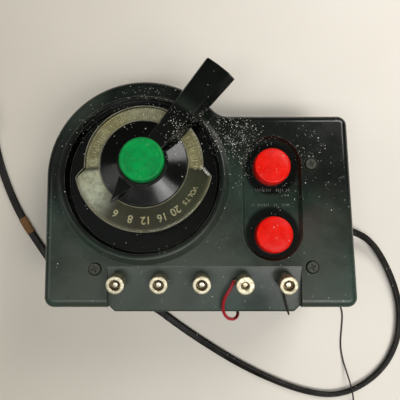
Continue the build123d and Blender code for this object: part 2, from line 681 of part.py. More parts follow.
# ---------------------------------------------------------------- breaker, rectifier, resistance
FLOOR = PLAN.offset(BASE_Z + BASE_THICK)
BREAKER = (14.0, -30.0)
BRACKET_W, BRACKET_L, BRACKET_THICK, BRACKET_H = 22.0, 14.0, 1.2, 14.0
with BuildPart() as breaker_bracket:
    with BuildSketch(FLOOR):
        with Locations(BREAKER):
            Rectangle(BRACKET_W, BRACKET_L)
    extrude(amount=BRACKET_THICK)
    with BuildSketch(FLOOR.offset(BRACKET_THICK)):
        with Locations(BREAKER):
            with GridLocations(BRACKET_W - 2.0, 1, 2, 1):
                Rectangle(2.0, BRACKET_L)
    extrude(amount=BRACKET_H)
finish(breaker_bracket, "breaker_bracket")

with BuildPart() as breaker_bimetal:
    with BuildSketch(FLOOR.offset(BRACKET_THICK + BRACKET_H)):
        with Locations(BREAKER):
            Rectangle(20.0, 6.0)
    extrude(amount=0.8)
finish(breaker_bimetal, "breaker_bimetal")

with BuildPart() as rectifier_discs:
    stack = Plane(origin=(PLAN_X + 10.0, PLAN_Y + 8.0, BASE_Z + BASE_THICK + 11.0), z_dir=(0, 1, 0))
    for step in range(4):
        add(disc(stack, (0, 0), 11.0, step * 4.0, step * 4.0 + 1.4))
    add(disc(stack, (0, 0), 3.0, -5.0, 19.0))
finish(rectifier_discs, "rectifier_discs")

with BuildPart() as resistance_coil:
    bar = Plane(origin=(PLAN_X + 78.0, PLAN_Y - 24.0, BASE_Z + BASE_THICK + 6.0), z_dir=(0, 1, 0))
    add(disc(bar, (0, 0), 6.0, 0, 40.0, bore=3.0))
finish(resistance_coil, "resistance_coil")

# ---------------------------------------------------------------- binding posts
with BuildPart() as stud_collars:
    for u in POSTS:
        add(disc(LEDGE, (u, POST_V), COLLAR_R, 0, COLLAR_H, bore=STUD_R + FIT))
finish(stud_collars, "stud_collars")

with BuildPart() as stud_base_nuts:
    with BuildSketch(LEDGE.offset(COLLAR_H)):
        with Locations(*[(u, POST_V) for u in POSTS]):
            RegularPolygon(HEX_FLAT / 2, 6, major_radius=False)
            Circle(STUD_R, mode=Mode.SUBTRACT)
    extrude(amount=HEX_H)
finish(stud_base_nuts, "stud_base_nuts")

STUD_LOW = -LEDGE_THICK - WALL - 9.0
STACK_H = COLLAR_H + HEX_H
with BuildPart() as terminal_studs:
    for u in POSTS:
        add(disc(LEDGE, (u, POST_V), STUD_R, STUD_LOW, STACK_H + STUD_RISE))
finish(terminal_studs, "terminal_studs")

with BuildPart() as solder_lugs:
    with BuildSketch(LEDGE.offset(-LEDGE_THICK - WALL)):
        with Locations(*[(u, POST_V) for u in POSTS]):
            Circle(4.2)
        with Locations(*[(u, POST_V - 7.0) for u in POSTS]):
            Rectangle(3.0, 10.0)
        with Locations(*[(u, POST_V) for u in POSTS]):
            Circle(STUD_R, mode=Mode.SUBTRACT)
    extrude(amount=-0.8)
    with BuildSketch(LEDGE.offset(-LEDGE_THICK - WALL - 0.8)):
        with Locations(*[(u, POST_V) for u in POSTS]):
            RegularPolygon(HEX_FLAT / 2, 6, major_radius=False)
            Circle(STUD_R, mode=Mode.SUBTRACT)
    extrude(amount=-HEX_H)
finish(solder_lugs, "solder_lugs")

for number, u in enumerate(POSTS):
    lift = STACK_H + (EYE_WIRE if number in EYE_POSTS else 0.0)
    with BuildPart() as nut_washer:
        add(disc(LEDGE, (u, POST_V), WASHER_R, lift, lift + WASHER_H, bore=STUD_R + 0.08))
    finish(nut_washer, f"nut_washer_{number + 1}")
    nut_low = lift + WASHER_H
    with BuildPart() as thumb_nut:
        add(disc(LEDGE, (u, POST_V), NUT_R, nut_low, nut_low + NUT_H, bore=STUD_R + FIT))
        fillet(faces().sort_by(LEDGE_AXIS)[-1].outer_wire().edges(), 0.6)
        if number != FLAT_NUT:
            well = disc(LEDGE, (u, POST_V), NUT_BORE_R, nut_low + NUT_BORE_FROM, nut_low + NUT_H + 1)
            add(well, mode=Mode.SUBTRACT)
    finish(thumb_nut, f"thumb_nut_{number + 1}")


def wire_eye(post, lead_angle, tail):
    """Bare wire bent once round a stud, with a short straight tail; returns the piece and the tail's end."""
    centre = (POSTS[post], POST_V)
    ring_r = STUD_R + EYE_WIRE / 2 + FIT
    height = STACK_H + EYE_WIRE / 2
    start = polar(ring_r, lead_angle, centre)
    along = math.radians(lead_angle + 90)
    tip = (start[0] + tail * math.cos(along), start[1] + tail * math.sin(along))
    ring_plane = Plane(LEDGE.from_local_coords((*centre, height)), x_dir=LEDGE.x_dir, z_dir=LEDGE.z_dir)
    with BuildPart() as eye:
        with BuildLine(ring_plane):
            turn = CenterArc((0, 0), ring_r, lead_angle, -300)
        with BuildLine(LEDGE.offset(height)):
            straight = Line(tip, start)
        with BuildSketch(Plane(straight @ 0, z_dir=straight % 0)):
            Circle(EYE_WIRE / 2)
        sweep(path=Wire([straight.edges()[0], turn.edges()[0]]))
    return eye, LEDGE.from_local_coords((*tip, height))


red_eye, red_start = wire_eye(3, 110.0, 5.2)
finish(red_eye, "red_eye")
black_eye, black_start = wire_eye(4, 190.0, 5.2)
finish(black_eye, "black_eye")


# ---------------------------------------------------------------- cords
def laid(points):
    """Route points given from the plan origin, moved into the row's frame."""
    return [Vector(PLAN_X + x, PLAN_Y + y, z) for x, y, z in points]


def bend_radii(points):
    """Largest tangent arc at each corner: 0.45 of the shorter run over the tangent of half the turn."""
    radii = []
    for before, here, after in zip(points, points[1:], points[2:]):
        turn = (here - before).get_angle(after - here)
        shorter = min((here - before).length, (after - here).length)
        radii.append(0.45 * shorter / math.tan(math.radians(turn / 2)))
    return radii


def cord(points, diameter, name):
    """Round cord along straight runs joined by tangent arcs."""
    radii = bend_radii(points)
    with BuildLine() as route:
        FilletPolyline(*points, radius=radii)
    path = route.wires()[0]
    with BuildPart() as tube:
        with BuildSketch(Plane(path @ 0, z_dir=path % 0)):
            Circle(diameter / 2)
        sweep(path=path)
    length = path.length
    ideal = math.pi * diameter**2 / 4 * length
    print(name, "length", round(length, 1), "least radius", round(min(radii), 1),
          "in diameters", round(min(radii) / diameter, 1), "volume ratio", round(tube.part.volume / ideal, 4))
    print("   radii", [round(radius, 1) for radius in radii])
    finish(tube, name)


BOOT_FLANGE_H, BOOT_FLANGE_THICK, BOOT_FLANGE_R = 0.2, 2.0, 7.0
with BuildPart() as strain_relief:
    with BuildSketch(CORD_HOLE.offset(-5.0)):
        Circle(CORD_HOLE_R - FIT)
    extrude(amount=5.0 + BOOT_FLANGE_H)
    with BuildSketch(CORD_HOLE.offset(BOOT_FLANGE_H)):
        Circle(BOOT_FLANGE_R)
    extrude(amount=BOOT_FLANGE_THICK, taper=12)
    with BuildSketch(CORD_HOLE.offset(BOOT_FLANGE_H + BOOT_FLANGE_THICK)):
        Circle(CORD_HOLE_R)
    with BuildSketch(Plane(CORD_HOLE.origin + BOOT_TIP, z_dir=BOOT_TIP)):
        Circle(BOOT_TIP_R)
    loft()
finish(strain_relief, "strain_relief")

LAY = CORD_D / 2
ROUTE = laid([
    (CASE_SIDE_X + BOOT_TIP.X, CORD_EXIT_Y + BOOT_TIP.Y, CORD_EXIT_Z + BOOT_TIP.Z),
    (119.0, -27.2, 8.9),
    (129.0, -35.0, 5.6),
    (137.2, -46.0, 3.3),
    (143.8, -58.8, LAY),
    (148.8, -72.6, LAY),
    (151.4, -87.0, LAY),
    (150.2, -108.5, LAY),
    (141.0, -128.5, LAY),
    (123.5, -144.0, LAY),
    (102.5, -151.5, LAY),
    (79.0, -148.0, LAY),
    (53.0, -138.3, LAY),
    (26.5, -125.0, LAY),
    (0.0, -108.3, LAY),
    (-18.0, -95.8, LAY),
    (-33.0, -84.2, LAY),
    (-50.5, -76.2, LAY),
    (-70.0, -73.0, LAY),
    (-88.5, -71.3, LAY),
    (-102.8, -62.0, LAY),
    (-111.5, -50.5, LAY),
    (-119.0, -39.5, LAY),
    (-127.5, -26.5, LAY),
    (-136.5, -11.0, LAY),
    (-144.2, 7.0, LAY),
    (-150.2, 25.0, LAY),
    (-153.8, 41.0, LAY),
    (-155.2, 52.0, LAY),
])
cord(ROUTE, CORD_D, "power_cord")


def coil_solid(centre, turn_d, width, thick, columns, layers):
    """Outer shape of a round coil lying on the table."""
    with BuildPart() as coil:
        with BuildSketch(PLAN):
            with Locations(centre):
                Circle(turn_d / 2 + width * columns / 2)
                Circle(turn_d / 2 - width * columns / 2, mode=Mode.SUBTRACT)
        extrude(amount=layers * thick)
        fillet(coil.edges(), 0.45 * thick)
    return coil


finish(coil_solid(COIL_CENTRE, COIL_TURN_D, CORD_D, CORD_THICK, COIL_COLUMNS, COIL_LAYERS), "cord_coil")

PLUG = Plane(
    origin=(PLAN_X + COIL_CENTRE[0] + PLUG_OFFSET[0], PLAN_Y + COIL_CENTRE[1] + PLUG_OFFSET[1], PLUG_T / 2),
    x_dir=(1, 0, 0),
    z_dir=(0, -1, 0),
)
with BuildPart() as plug_body:
    with BuildSketch(PLUG):
        RectangleRounded(9.0, 8.0, 3.5)
    with BuildSketch(PLUG.offset(PLUG_NECK)):
        RectangleRounded(PLUG_W, PLUG_T, 5.0)
    loft()
    with BuildSketch(PLUG.offset(PLUG_NECK)):
        RectangleRounded(PLUG_W, PLUG_T, 5.0)
    extrude(amount=PLUG_L - PLUG_NECK)
    fillet(faces().sort_by(Axis.Y)[0].outer_wire().edges(), 1.2)
finish(plug_body, "plug_body")

with BuildPart() as plug_blades:
    with BuildSketch(PLUG.offset(PLUG_L)):
        with GridLocations(BLADE_PITCH, 1, 2, 1):
            Rectangle(1.5, 6.3)
    extrude(amount=BLADE_L)
finish(plug_blades, "plug_blades")

# fabric tape wrapped round the cord near the rear left corner
TAPE_RUN = (ROUTE[TAPE_POINT], ROUTE[TAPE_POINT + 1])
along = (TAPE_RUN[1] - TAPE_RUN[0]).normalized()
with BuildPart() as tape_band:
    with BuildSketch(Plane((TAPE_RUN[0] + TAPE_RUN[1]) * 0.5 - along * TAPE_W / 2, z_dir=along)):
        Circle(LAY + TAPE_THICK)
        Circle(LAY + FIT, mode=Mode.SUBTRACT)
    extrude(amount=TAPE_W)
    split(bisect_by=PLAN, keep=Keep.TOP)
finish(tape_band, "tape_band")

RED_ROUTE = laid([
    (17.6, -51.6, 78.7),
    (13.9, -57.6, 78.0),
    (13.2, -64.2, 75.6),
    (15.6, -70.4, 71.2),
    (20.0, -73.4, 66.2),
    (23.4, -73.0, 61.0),
    (24.2, -71.4, 55.0),
    (23.2, -71.0, 48.6),
])
RED_ROUTE.insert(0, Vector(red_start))
cord(RED_ROUTE, RED_D, "red_lead")

BLACK_LAY = BLACK_D / 2
BLACK_ROUTE = laid([
    (50.0, -58.3, 75.9),
    (51.6, -63.8, 75.0),
    (53.0, -68.4, 73.2),
    (53.9, -69.0, 66.6),
    (54.4, -69.2, 54.0),
    (55.2, -70.0, 37.0),
    (56.8, -71.8, 19.3),
    (60.6, -73.6, 7.6),
    (69.0, -74.9, 1.9),
    (82.5, -75.0, BLACK_LAY),
    (95.0, -74.9, BLACK_LAY),
    (104.6, -78.0, BLACK_LAY),
    (108.8, -87.5, BLACK_LAY),
    (107.8, -100.5, BLACK_LAY),
    (107.0, -113.5, BLACK_LAY),
    (109.0, -124.5, 0.9),
    (111.2, -132.5, 3.2),
    (113.2, -140.5, 6.6),
    (114.9, -148.5, 7.4),
    (116.3, -156.5, 4.6),
    (117.9, -163.5, 1.4),
    (BLACK_COIL_CENTRE[0] - BLACK_COIL_D / 2, BLACK_COIL_CENTRE[1] + 2.0, BLACK_LAY),
])
BLACK_ROUTE.insert(0, Vector(black_start))
cord(BLACK_ROUTE, BLACK_D, "black_lead")
finish(coil_solid(BLACK_COIL_CENTRE, BLACK_COIL_D, BLACK_D, BLACK_D, 1, 3), "black_coil")
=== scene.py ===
"""Toy-train transformer and speed controller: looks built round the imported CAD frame.

Lengths are written in millimetres and turned into metres where a mesh, curve or light is made.
The panel's own axes are u (along X), v (up the slope, toward the operator) and h (square to it).
"""
import json
import math
import random

import bpy
from mathutils import Matrix, Vector


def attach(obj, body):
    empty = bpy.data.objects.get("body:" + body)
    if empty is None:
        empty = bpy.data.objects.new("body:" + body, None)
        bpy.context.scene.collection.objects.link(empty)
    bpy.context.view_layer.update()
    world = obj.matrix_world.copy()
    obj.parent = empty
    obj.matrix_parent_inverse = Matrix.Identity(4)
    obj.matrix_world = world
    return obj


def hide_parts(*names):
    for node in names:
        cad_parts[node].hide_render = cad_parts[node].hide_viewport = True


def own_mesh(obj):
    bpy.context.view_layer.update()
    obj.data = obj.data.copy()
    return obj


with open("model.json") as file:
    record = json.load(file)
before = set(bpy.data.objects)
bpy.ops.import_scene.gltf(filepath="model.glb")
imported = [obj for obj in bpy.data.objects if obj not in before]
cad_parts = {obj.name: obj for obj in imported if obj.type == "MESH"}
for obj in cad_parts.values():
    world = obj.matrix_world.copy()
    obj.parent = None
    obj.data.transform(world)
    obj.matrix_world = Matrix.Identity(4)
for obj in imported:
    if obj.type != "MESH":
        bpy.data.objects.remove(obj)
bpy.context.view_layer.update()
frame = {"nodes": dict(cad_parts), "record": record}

# ---------------------------------------------------------------- planes, as in the CAD
MM = 0.001
PLAN_X, PLAN_Y = 0.2, -7.8
SLOPE, FALL = math.radians(9.0), math.radians(5.0)
PANEL_Z, LEDGE_Y = 69.0, -39.0
LEDGE_Z = PANEL_Z - LEDGE_Y * math.tan(SLOPE)
DIAL = (-32.6, 19.9)
LEVER_ANGLE = 51.8
BUTTONS = {"whistle": (43.4, 20.2), "direction": (43.8, -20.9)}
POSTS = [1.0 + 24.7 * step for step in (-2, -1, 0, 1, 2)]
POST_V = -8.1
EYE_POSTS = (3, 4)
STACK_H, EYE_WIRE, WASHER_H, STUD_R = 3.2, 1.0, 0.8, 2.05


def plane(origin, tilt):
    """Matrix from a sloping plane's own axes to the row frame; tilt turns it about X."""
    return Matrix.Translation(Vector(origin)) @ Matrix.Rotation(tilt, 4, "X")


PANEL = plane((PLAN_X, PLAN_Y, PANEL_Z), -SLOPE)
LEDGE = plane((PLAN_X, PLAN_Y + LEDGE_Y, LEDGE_Z), FALL)
DIAL_PLANE = PANEL @ Matrix.Translation((*DIAL, 0))
LEVER_PLANE = DIAL_PLANE @ Matrix.Rotation(math.radians(LEVER_ANGLE), 4, "Z")


def laid(x, y, z):
    """Point given from the plan origin, in millimetres, moved into the row frame in metres."""
    return Vector((PLAN_X + x, PLAN_Y + y, z)) * MM


def polar(radius, angle, centre=(0.0, 0.0)):
    turn = math.radians(angle)
    return (centre[0] + radius * math.cos(turn), centre[1] + radius * math.sin(turn))


# ---------------------------------------------------------------- material nodes
class Finish:
    """A procedural material: a Principled shader and short calls for the nodes that feed it."""

    def __init__(self, name, **fixed):
        self.material = bpy.data.materials.new(name)
        self.material.use_nodes = True
        self.tree = self.material.node_tree
        self.shader = self.tree.nodes["Principled BSDF"]
        self.place = self.node("ShaderNodeTexCoord").outputs["Object"]
        for socket, value in fixed.items():
            self.shader.inputs[socket.replace("_", " ")].default_value = value

    def node(self, kind, **settings):
        made = self.tree.nodes.new(kind)
        for key, value in settings.items():
            setattr(made, key, value)
        return made

    def put(self, socket, value):
        """Link a socket, or set a plain value on it."""
        if isinstance(value, bpy.types.NodeSocket):
            self.tree.links.new(value, socket)
        else:
            socket.default_value = value

    def feed(self, name, value):
        self.put(self.shader.inputs[name], value)

    def noise(self, scale, detail=3.0, roughness=0.55, place=None):
        made = self.node("ShaderNodeTexNoise")
        self.put(made.inputs["Vector"], place or self.place)
        made.inputs["Scale"].default_value = scale
        made.inputs["Detail"].default_value = detail
        made.inputs["Roughness"].default_value = roughness
        return made.outputs["Fac"]

    def cells(self, scale):
        """Distance to the nearest cell centre, and a random number for that cell."""
        made = self.node("ShaderNodeTexVoronoi")
        self.put(made.inputs["Vector"], self.place)
        made.inputs["Scale"].default_value = scale
        split = self.node("ShaderNodeSeparateColor")
        self.put(split.inputs[0], made.outputs["Color"])
        return made.outputs["Distance"], split.outputs[0], split.outputs[1]

    def math(self, operation, first, second=0.0, clamp=False):
        made = self.node("ShaderNodeMath", operation=operation, use_clamp=clamp)
        self.put(made.inputs[0], first)
        self.put(made.inputs[1], second)
        return made.outputs[0]

    def band(self, value, low, high, out_low=0.0, out_high=1.0):
        made = self.node("ShaderNodeMapRange", interpolation_type="SMOOTHSTEP")
        for socket, number in zip(made.inputs, (value, low, high, out_low, out_high)):
            self.put(socket, number)
        return made.outputs[0]

    def mix(self, share, first, second):
        made = self.node("ShaderNodeMix", data_type="RGBA")
        self.put(made.inputs["Factor"], share)
        for socket, colour in ((made.inputs[6], first), (made.inputs[7], second)):
            self.put(socket, colour if isinstance(colour, bpy.types.NodeSocket) else (*colour, 1.0))
        return made.outputs[2]

    def bump(self, height, distance, strength=1.0, under=None):
        made = self.node("ShaderNodeBump")
        made.inputs["Strength"].default_value = strength
        made.inputs["Distance"].default_value = distance
        self.put(made.inputs["Height"], height)
        if under:
            self.put(made.inputs["Normal"], under)
        return made.outputs["Normal"]

    def far(self, point):
        """Distance of the surface from a point of the row frame, in metres."""
        made = self.node("ShaderNodeVectorMath", operation="DISTANCE")
        self.put(made.inputs[0], self.place)
        made.inputs[1].default_value = point
        return made.outputs["Value"]

    def spot(self, place, low, high, out_low, out_high):
        """Smooth change with the distance, in millimetres, from a point given on the panel."""
        return self.band(self.far(PANEL @ Vector(place) * MM), low * MM, high * MM, out_low, out_high)

    def edges(self, radius, low=0.004, high=0.10):
        """Share of pale edge, for edge wear and painted edge highlight: where the rounded normal leaves the
        true one.
        """
        rounded = self.node("ShaderNodeBevel", samples=4)
        rounded.inputs["Radius"].default_value = radius
        flat = self.node("ShaderNodeNewGeometry").outputs["Normal"]
        dot = self.node("ShaderNodeVectorMath", operation="DOT_PRODUCT")
        self.put(dot.inputs[0], rounded.outputs["Normal"])
        self.put(dot.inputs[1], flat)
        return self.band(self.math("SUBTRACT", 1.0, dot.outputs["Value"]), low, high)

    def specks(self, density, scale=620.0, size=0.30):
        """Round specks of dust; density is the share of cells that hold one."""
        reach, pick, grade = self.cells(scale)
        radius = self.math("MULTIPLY", grade, size)
        there = self.math("LESS_THAN", pick, density)
        return self.math("MULTIPLY", there, self.math("LESS_THAN", reach, radius))

    def polar_field(self):
        """Angle in turns (0 to 1, counterclockwise from +X) and radius in metres about the dial's axis."""
        shift = self.node("ShaderNodeVectorMath", operation="SUBTRACT")
        self.put(shift.inputs[0], self.place)
        shift.inputs[1].default_value = DIAL_PLANE.translation * MM
        parts = self.node("ShaderNodeSeparateXYZ")
        self.put(parts.inputs[0], shift.outputs[0])
        rise = self.math("SUBTRACT", self.math("MULTIPLY", parts.outputs[1], math.cos(SLOPE)),
                         self.math("MULTIPLY", parts.outputs[2], math.sin(SLOPE)))
        turn = self.math("ARCTAN2", rise, parts.outputs[0])
        turns = self.math("FRACT", self.math("ADD", self.math("DIVIDE", turn, 2 * math.pi), 1.0))
        squares = self.math("ADD", self.math("POWER", self.math("ABSOLUTE", rise), 2.0),
                            self.math("POWER", self.math("ABSOLUTE", parts.outputs[0]), 2.0))
        return turns, self.math("SQRT", squares)


DUST_WHITE = (0.62, 0.61, 0.56)
# dusty places: u, v and h on the panel, reach and amount
DUST_ZONES = (
    (22, 37, 0, 20, 0.90), (12, 44, 12, 22, 0.60), (-10, 38, 14, 18, 0.75), (26, 22, 0, 20, 0.22),
    (67, 31, 0, 16, 0.32), (60, 6, 0, 16, 0.10), (50, -2, -3, 14, 0.14), (-33, 58, 3, 30, 0.20),
    (-62, 40, 3, 26, 0.16), (75, 12, 0, 20, 0.08), (36, 40, 0, 16, 0.16),
)


# glossier places where the bloom and painted sheen fade toward black: centre on the panel, from and to
# distance, least share
FADED_SHEEN_ZONES = (
    ((-33.9, 13.2, 4.0), 46.0, 50.0, 0.06),
    ((43.5, 20.0, -4.0), 15.0, 17.5, 0.12),
    ((43.5, -20.0, -4.0), 15.0, 17.5, 0.12),
    ((12.0, 78.0, 18.0), 26.0, 44.0, 0.10),
    ((95.0, 60.0, 0.0), 44.0, 86.0, 0.25),
    ((-34.0, 62.0, 4.0), 20.0, 34.0, 0.3),
    ((25.0, 46.0, 0.0), 10.0, 30.0, 0.4),
    ((-84.0, 22.0, 4.0), 16.0, 34.0, 0.3),
)
# painted sheen, a painted reflection that lightens the panel toward its rear edge: centre on the panel,
# reach, extra bloom and sheen
SHEEN_ZONES = (
    ((-48.0, -62.0, 0.0), 66.0, 0.55),
    ((-6.0, -46.0, 0.0), 44.0, 1.3),
    ((78.0, -52.0, 0.0), 40.0, 0.45),
)
EDGE_WEAR_GLINT_R = 0.7 * MM


def phenolic(name, tint, bloom_sheen_tint, gloss):
    """Glossy moulded plastic, black with a grey-green bloom and a painted sheen, fine scratches, dust and
    pale edges of wear and painted highlight.
    """
    f = Finish(name, IOR=1.5, Specular_IOR_Level=0.32)
    # grey-green share: noise bloom, raised in the painted sheen zones and faded in the others
    greying = f.band(f.noise(26.0, 5.0, 0.62), 0.30, 0.72, 0.55, 1.25)
    for place, reach, extra in SHEEN_ZONES:
        greying = f.math("ADD", greying, f.spot(place, reach, 0.2 * reach, 0.0, extra))
    for place, low, high, least in FADED_SHEEN_ZONES:
        greying = f.math("MULTIPLY", greying, f.spot(place, low, high, least, 1.0))
    grain = f.noise(900.0, 2.0)
    smear = f.noise(70.0, 4.0, 0.7)
    hue = f.mix(f.band(f.noise(17.0, 3.0), 0.40, 0.62), bloom_sheen_tint, (0.026, 0.052, 0.038))
    hue = f.mix(f.band(f.noise(13.0, 2.0), 0.56, 0.70, 0.0, 0.7), hue, (0.046, 0.030, 0.027))
    colour = f.mix(f.math("MULTIPLY", greying, 0.8, clamp=True), tint, hue)
    density = 0.016
    for u, v, h, reach, amount in DUST_ZONES:
        density = f.math("ADD", density, f.spot((u, v, h), reach, 0.25 * reach, 0.0, amount))
    density = f.math("MULTIPLY", density, f.band(f.noise(160.0, 2.0), 0.35, 0.7, 0.25, 1.3))
    coarse = f.specks(density, 800.0, 0.30)
    fine = f.specks(f.math("MULTIPLY", density, 0.8), 1700.0, 0.40)
    dust = f.math("MAXIMUM", coarse, fine)
    # pale film, strongest where the bloom and painted sheen are
    film_and_sheen = f.math("MULTIPLY", f.band(f.noise(420.0, 5.0, 0.7), 0.50, 0.75, 0.0, 0.30), greying)
    # pale edges: edge wear and painted highlight along the edges
    pale_share = f.math("MULTIPLY", f.edges(EDGE_WEAR_GLINT_R), f.band(f.noise(120.0, 4.0), 0.35, 0.62, 0.15, 1.0))
    colour = f.mix(film_and_sheen, colour, (0.050, 0.058, 0.048))
    colour = f.mix(f.math("MULTIPLY", pale_share, 0.5), colour, (0.15, 0.16, 0.13))
    colour = f.mix(dust, colour, DUST_WHITE)
    f.feed("Base Color", colour)
    rough = f.band(smear, 0.3, 0.75, gloss, gloss + 0.10)
    rough = f.math("ADD", rough, f.math("MULTIPLY", greying, 0.12))
    rough = f.math("ADD", rough, f.math("MULTIPLY", dust, 0.5), clamp=True)
    f.feed("Roughness", rough)
    scratches = f.noise(1500.0, 2.0, 0.8)
    soft = f.bump(f.noise(34.0, 3.0), 0.0012, 0.10)
    scratched = f.bump(f.math("ADD", grain, f.math("MULTIPLY", scratches, 0.5)), 0.00004, 0.2, soft)
    f.feed("Normal", f.bump(dust, 0.00022, 0.8, scratched))
    return f.material


def moulded(name, tint, shade, gloss, dusty=0.05, level=0.3):
    """Coloured moulded plastic with faint mottling, scuffs and a little dust."""
    f = Finish(name, IOR=1.5, Specular_IOR_Level=level)
    colour = f.mix(f.band(f.noise(150.0, 4.0), 0.35, 0.7), tint, shade)
    scuff = f.band(f.noise(480.0, 6.0, 0.75), 0.58, 0.72)
    dust = f.specks(dusty, 900.0, 0.30)
    colour = f.mix(f.math("MULTIPLY", scuff, 0.16), colour, (0.8, 0.72, 0.66))
    f.feed("Base Color", f.mix(f.math("MULTIPLY", dust, 0.6), colour, DUST_WHITE))
    f.feed("Roughness", f.band(f.noise(220.0, 4.0, 0.7), 0.3, 0.75, gloss, gloss + 0.18))
    f.feed("Normal", f.bump(f.math("ADD", f.noise(300.0, 3.0), f.math("MULTIPLY", dust, 0.6)), 0.00012, 0.35))
    return f.material


def metal(name, tint, dirt, gloss, scale=260.0, spread=0.22):
    """Plated or bare metal: brushed grain, tarnish in patches, grime in hollows."""
    f = Finish(name, Metallic=1.0)
    tarnish = f.band(f.noise(scale, 5.0, 0.65), 0.36, 0.68)
    colour = f.mix(tarnish, tint, dirt)
    pits = f.band(f.noise(scale * 6, 3.0), 0.62, 0.72)
    f.feed("Base Color", f.mix(f.math("MULTIPLY", pits, 0.5), colour, (0.10, 0.08, 0.05)))
    f.feed("Roughness", f.band(f.noise(scale * 1.7, 4.0), 0.3, 0.7, gloss, gloss + spread))
    f.feed("Normal", f.bump(f.noise(scale * 5, 3.0), 0.00006, 0.35))
    return f.material


def rubber(name, tint, greying, gloss):
    """Old extruded rubber or vinyl: dull bloom, fine streaks and grime."""
    f = Finish(name, IOR=1.5, Specular_IOR_Level=0.22)
    colour = f.mix(f.band(f.noise(60.0, 5.0, 0.6), 0.35, 0.7), tint, greying)
    grime = f.band(f.noise(700.0, 4.0, 0.7), 0.55, 0.75, 0.0, 0.5)
    dust = f.specks(0.06, 1000.0, 0.34)
    colour = f.mix(grime, colour, (0.055, 0.048, 0.034))
    f.feed("Base Color", f.mix(f.math("MULTIPLY", dust, 0.7), colour, DUST_WHITE))
    f.feed("Roughness", f.band(f.noise(180.0, 4.0), 0.3, 0.7, gloss, gloss + 0.2))
    f.feed("Normal", f.bump(f.noise(900.0, 3.0), 0.00008, 0.4))
    return f.material


def clear_plastic(name):
    """Clear moulding gone yellow, crazed and dusty, that shows the dial below it."""
    f = Finish(name, IOR=1.49, Transmission_Weight=1.0)
    yellowing = f.band(f.noise(45.0, 3.0), 0.35, 0.7)
    f.feed("Base Color", f.mix(yellowing, (0.95, 0.93, 0.80), (0.90, 0.85, 0.62)))
    f.feed("Roughness", f.band(f.noise(260.0, 5.0, 0.7), 0.35, 0.75, 0.02, 0.12))
    f.feed("Normal", f.bump(f.noise(140.0, 4.0), 0.00035, 0.25))
    return f.material


def dial_print(name):
    """Dial plate: dark grey-green where the figures are, a pale worn band round the rest, a painted
    reflection on part of the dark band and painted highlights just inside the clear ring's edge.
    """
    f = Finish(name)
    turns, radius = f.polar_field()
    pale = f.math("MAXIMUM", f.band(turns, 0.520, 0.500), f.band(turns, 0.982, 0.990))
    pale_share = f.band(f.noise(240.0, 5.0, 0.7), 0.3, 0.7)
    cloud = f.band(f.noise(90.0, 3.0), 0.35, 0.65)
    tan = f.mix(pale_share, (0.33, 0.345, 0.275), (0.55, 0.57, 0.48))
    tan = f.mix(f.math("MULTIPLY", cloud, 0.6), tan, (0.155, 0.170, 0.125))
    dark = f.mix(f.band(f.noise(60.0, 3.0), 0.35, 0.7), (0.010, 0.014, 0.010), (0.034, 0.040, 0.026))
    # painted reflection: a pale blue-white patch over part of the dark band
    reflected_patch = f.math("MULTIPLY", f.band(turns, 0.515, 0.530), f.band(turns, 0.668, 0.585))
    dark = f.mix(f.math("MULTIPLY", reflected_patch, f.band(pale_share, -0.9, 1.0)), dark, (0.74, 0.83, 0.88))
    green = f.math("MULTIPLY", f.band(turns, 0.80, 0.90), f.band(turns, 0.985, 0.95))
    dark = f.mix(f.math("MULTIPLY", green, 0.6), dark, (0.020, 0.046, 0.022))
    colour = f.mix(pale, dark, tan)
    # painted highlight: lighter rings just inside the clear ring's outer edge
    rim_glint = f.math("MULTIPLY", pale, f.band(radius, 31.8 * MM, 33.6 * MM))
    rim_glint = f.math("MAXIMUM", f.band(radius, 37.2 * MM, 39.2 * MM), rim_glint)
    colour = f.mix(f.math("MULTIPLY", rim_glint, 0.75), colour, (0.20, 0.20, 0.135))
    f.feed("Base Color", colour)
    f.feed("Roughness", f.band(pale_share, 0.0, 1.0, 0.45, 0.65))
    f.feed("Normal", f.bump(f.noise(700.0, 3.0), 0.00006, 0.4))
    return f.material


def ink(name, tint, worn):
    """Printed mark, worn away in places."""
    f = Finish(name, Roughness=0.55)
    f.feed("Base Color", f.mix(f.band(f.noise(900.0, 4.0, 0.7), 0.4, 0.65), tint, worn))
    f.feed("Normal", f.bump(f.noise(1600.0, 2.0), 0.00003, 0.4))
    return f.material


def woven_tape(name):
    """Old brown cloth tape: crossed threads, dark grime between them."""
    f = Finish(name, Roughness=0.85)
    parts = f.node("ShaderNodeSeparateXYZ")
    f.put(parts.inputs[0], f.place)
    warp = f.math("SINE", f.math("MULTIPLY", f.math("ADD", parts.outputs[0], parts.outputs[1]), 9000.0))
    weft = f.math("SINE", f.math("MULTIPLY", f.math("SUBTRACT", parts.outputs[0], parts.outputs[1]), 9000.0))
    weave = f.math("MULTIPLY", warp, weft)
    colour = f.mix(f.band(f.noise(500.0, 4.0), 0.3, 0.7), (0.20, 0.095, 0.028), (0.11, 0.050, 0.016))
    f.feed("Base Color", f.mix(f.band(weave, -1.0, 1.0, 0.0, 0.5), colour, (0.30, 0.16, 0.06)))
    f.feed("Normal", f.bump(weave, 0.00012, 0.7))
    return f.material


def rough_block(name, tint, shade, scale, rough, metallic=0.0):
    """Inner parts: enamel, fibre, ceramic or lacquered sheet, with patches and grain."""
    f = Finish(name, Metallic=metallic)
    f.feed("Base Color", f.mix(f.band(f.noise(scale, 5.0, 0.65), 0.35, 0.7), tint, shade))
    f.feed("Roughness", f.band(f.noise(scale * 3, 3.0), 0.3, 0.7, rough, min(1.0, rough + 0.2)))
    f.feed("Normal", f.bump(f.noise(scale * 8, 3.0), 0.0001, 0.4))
    return f.material


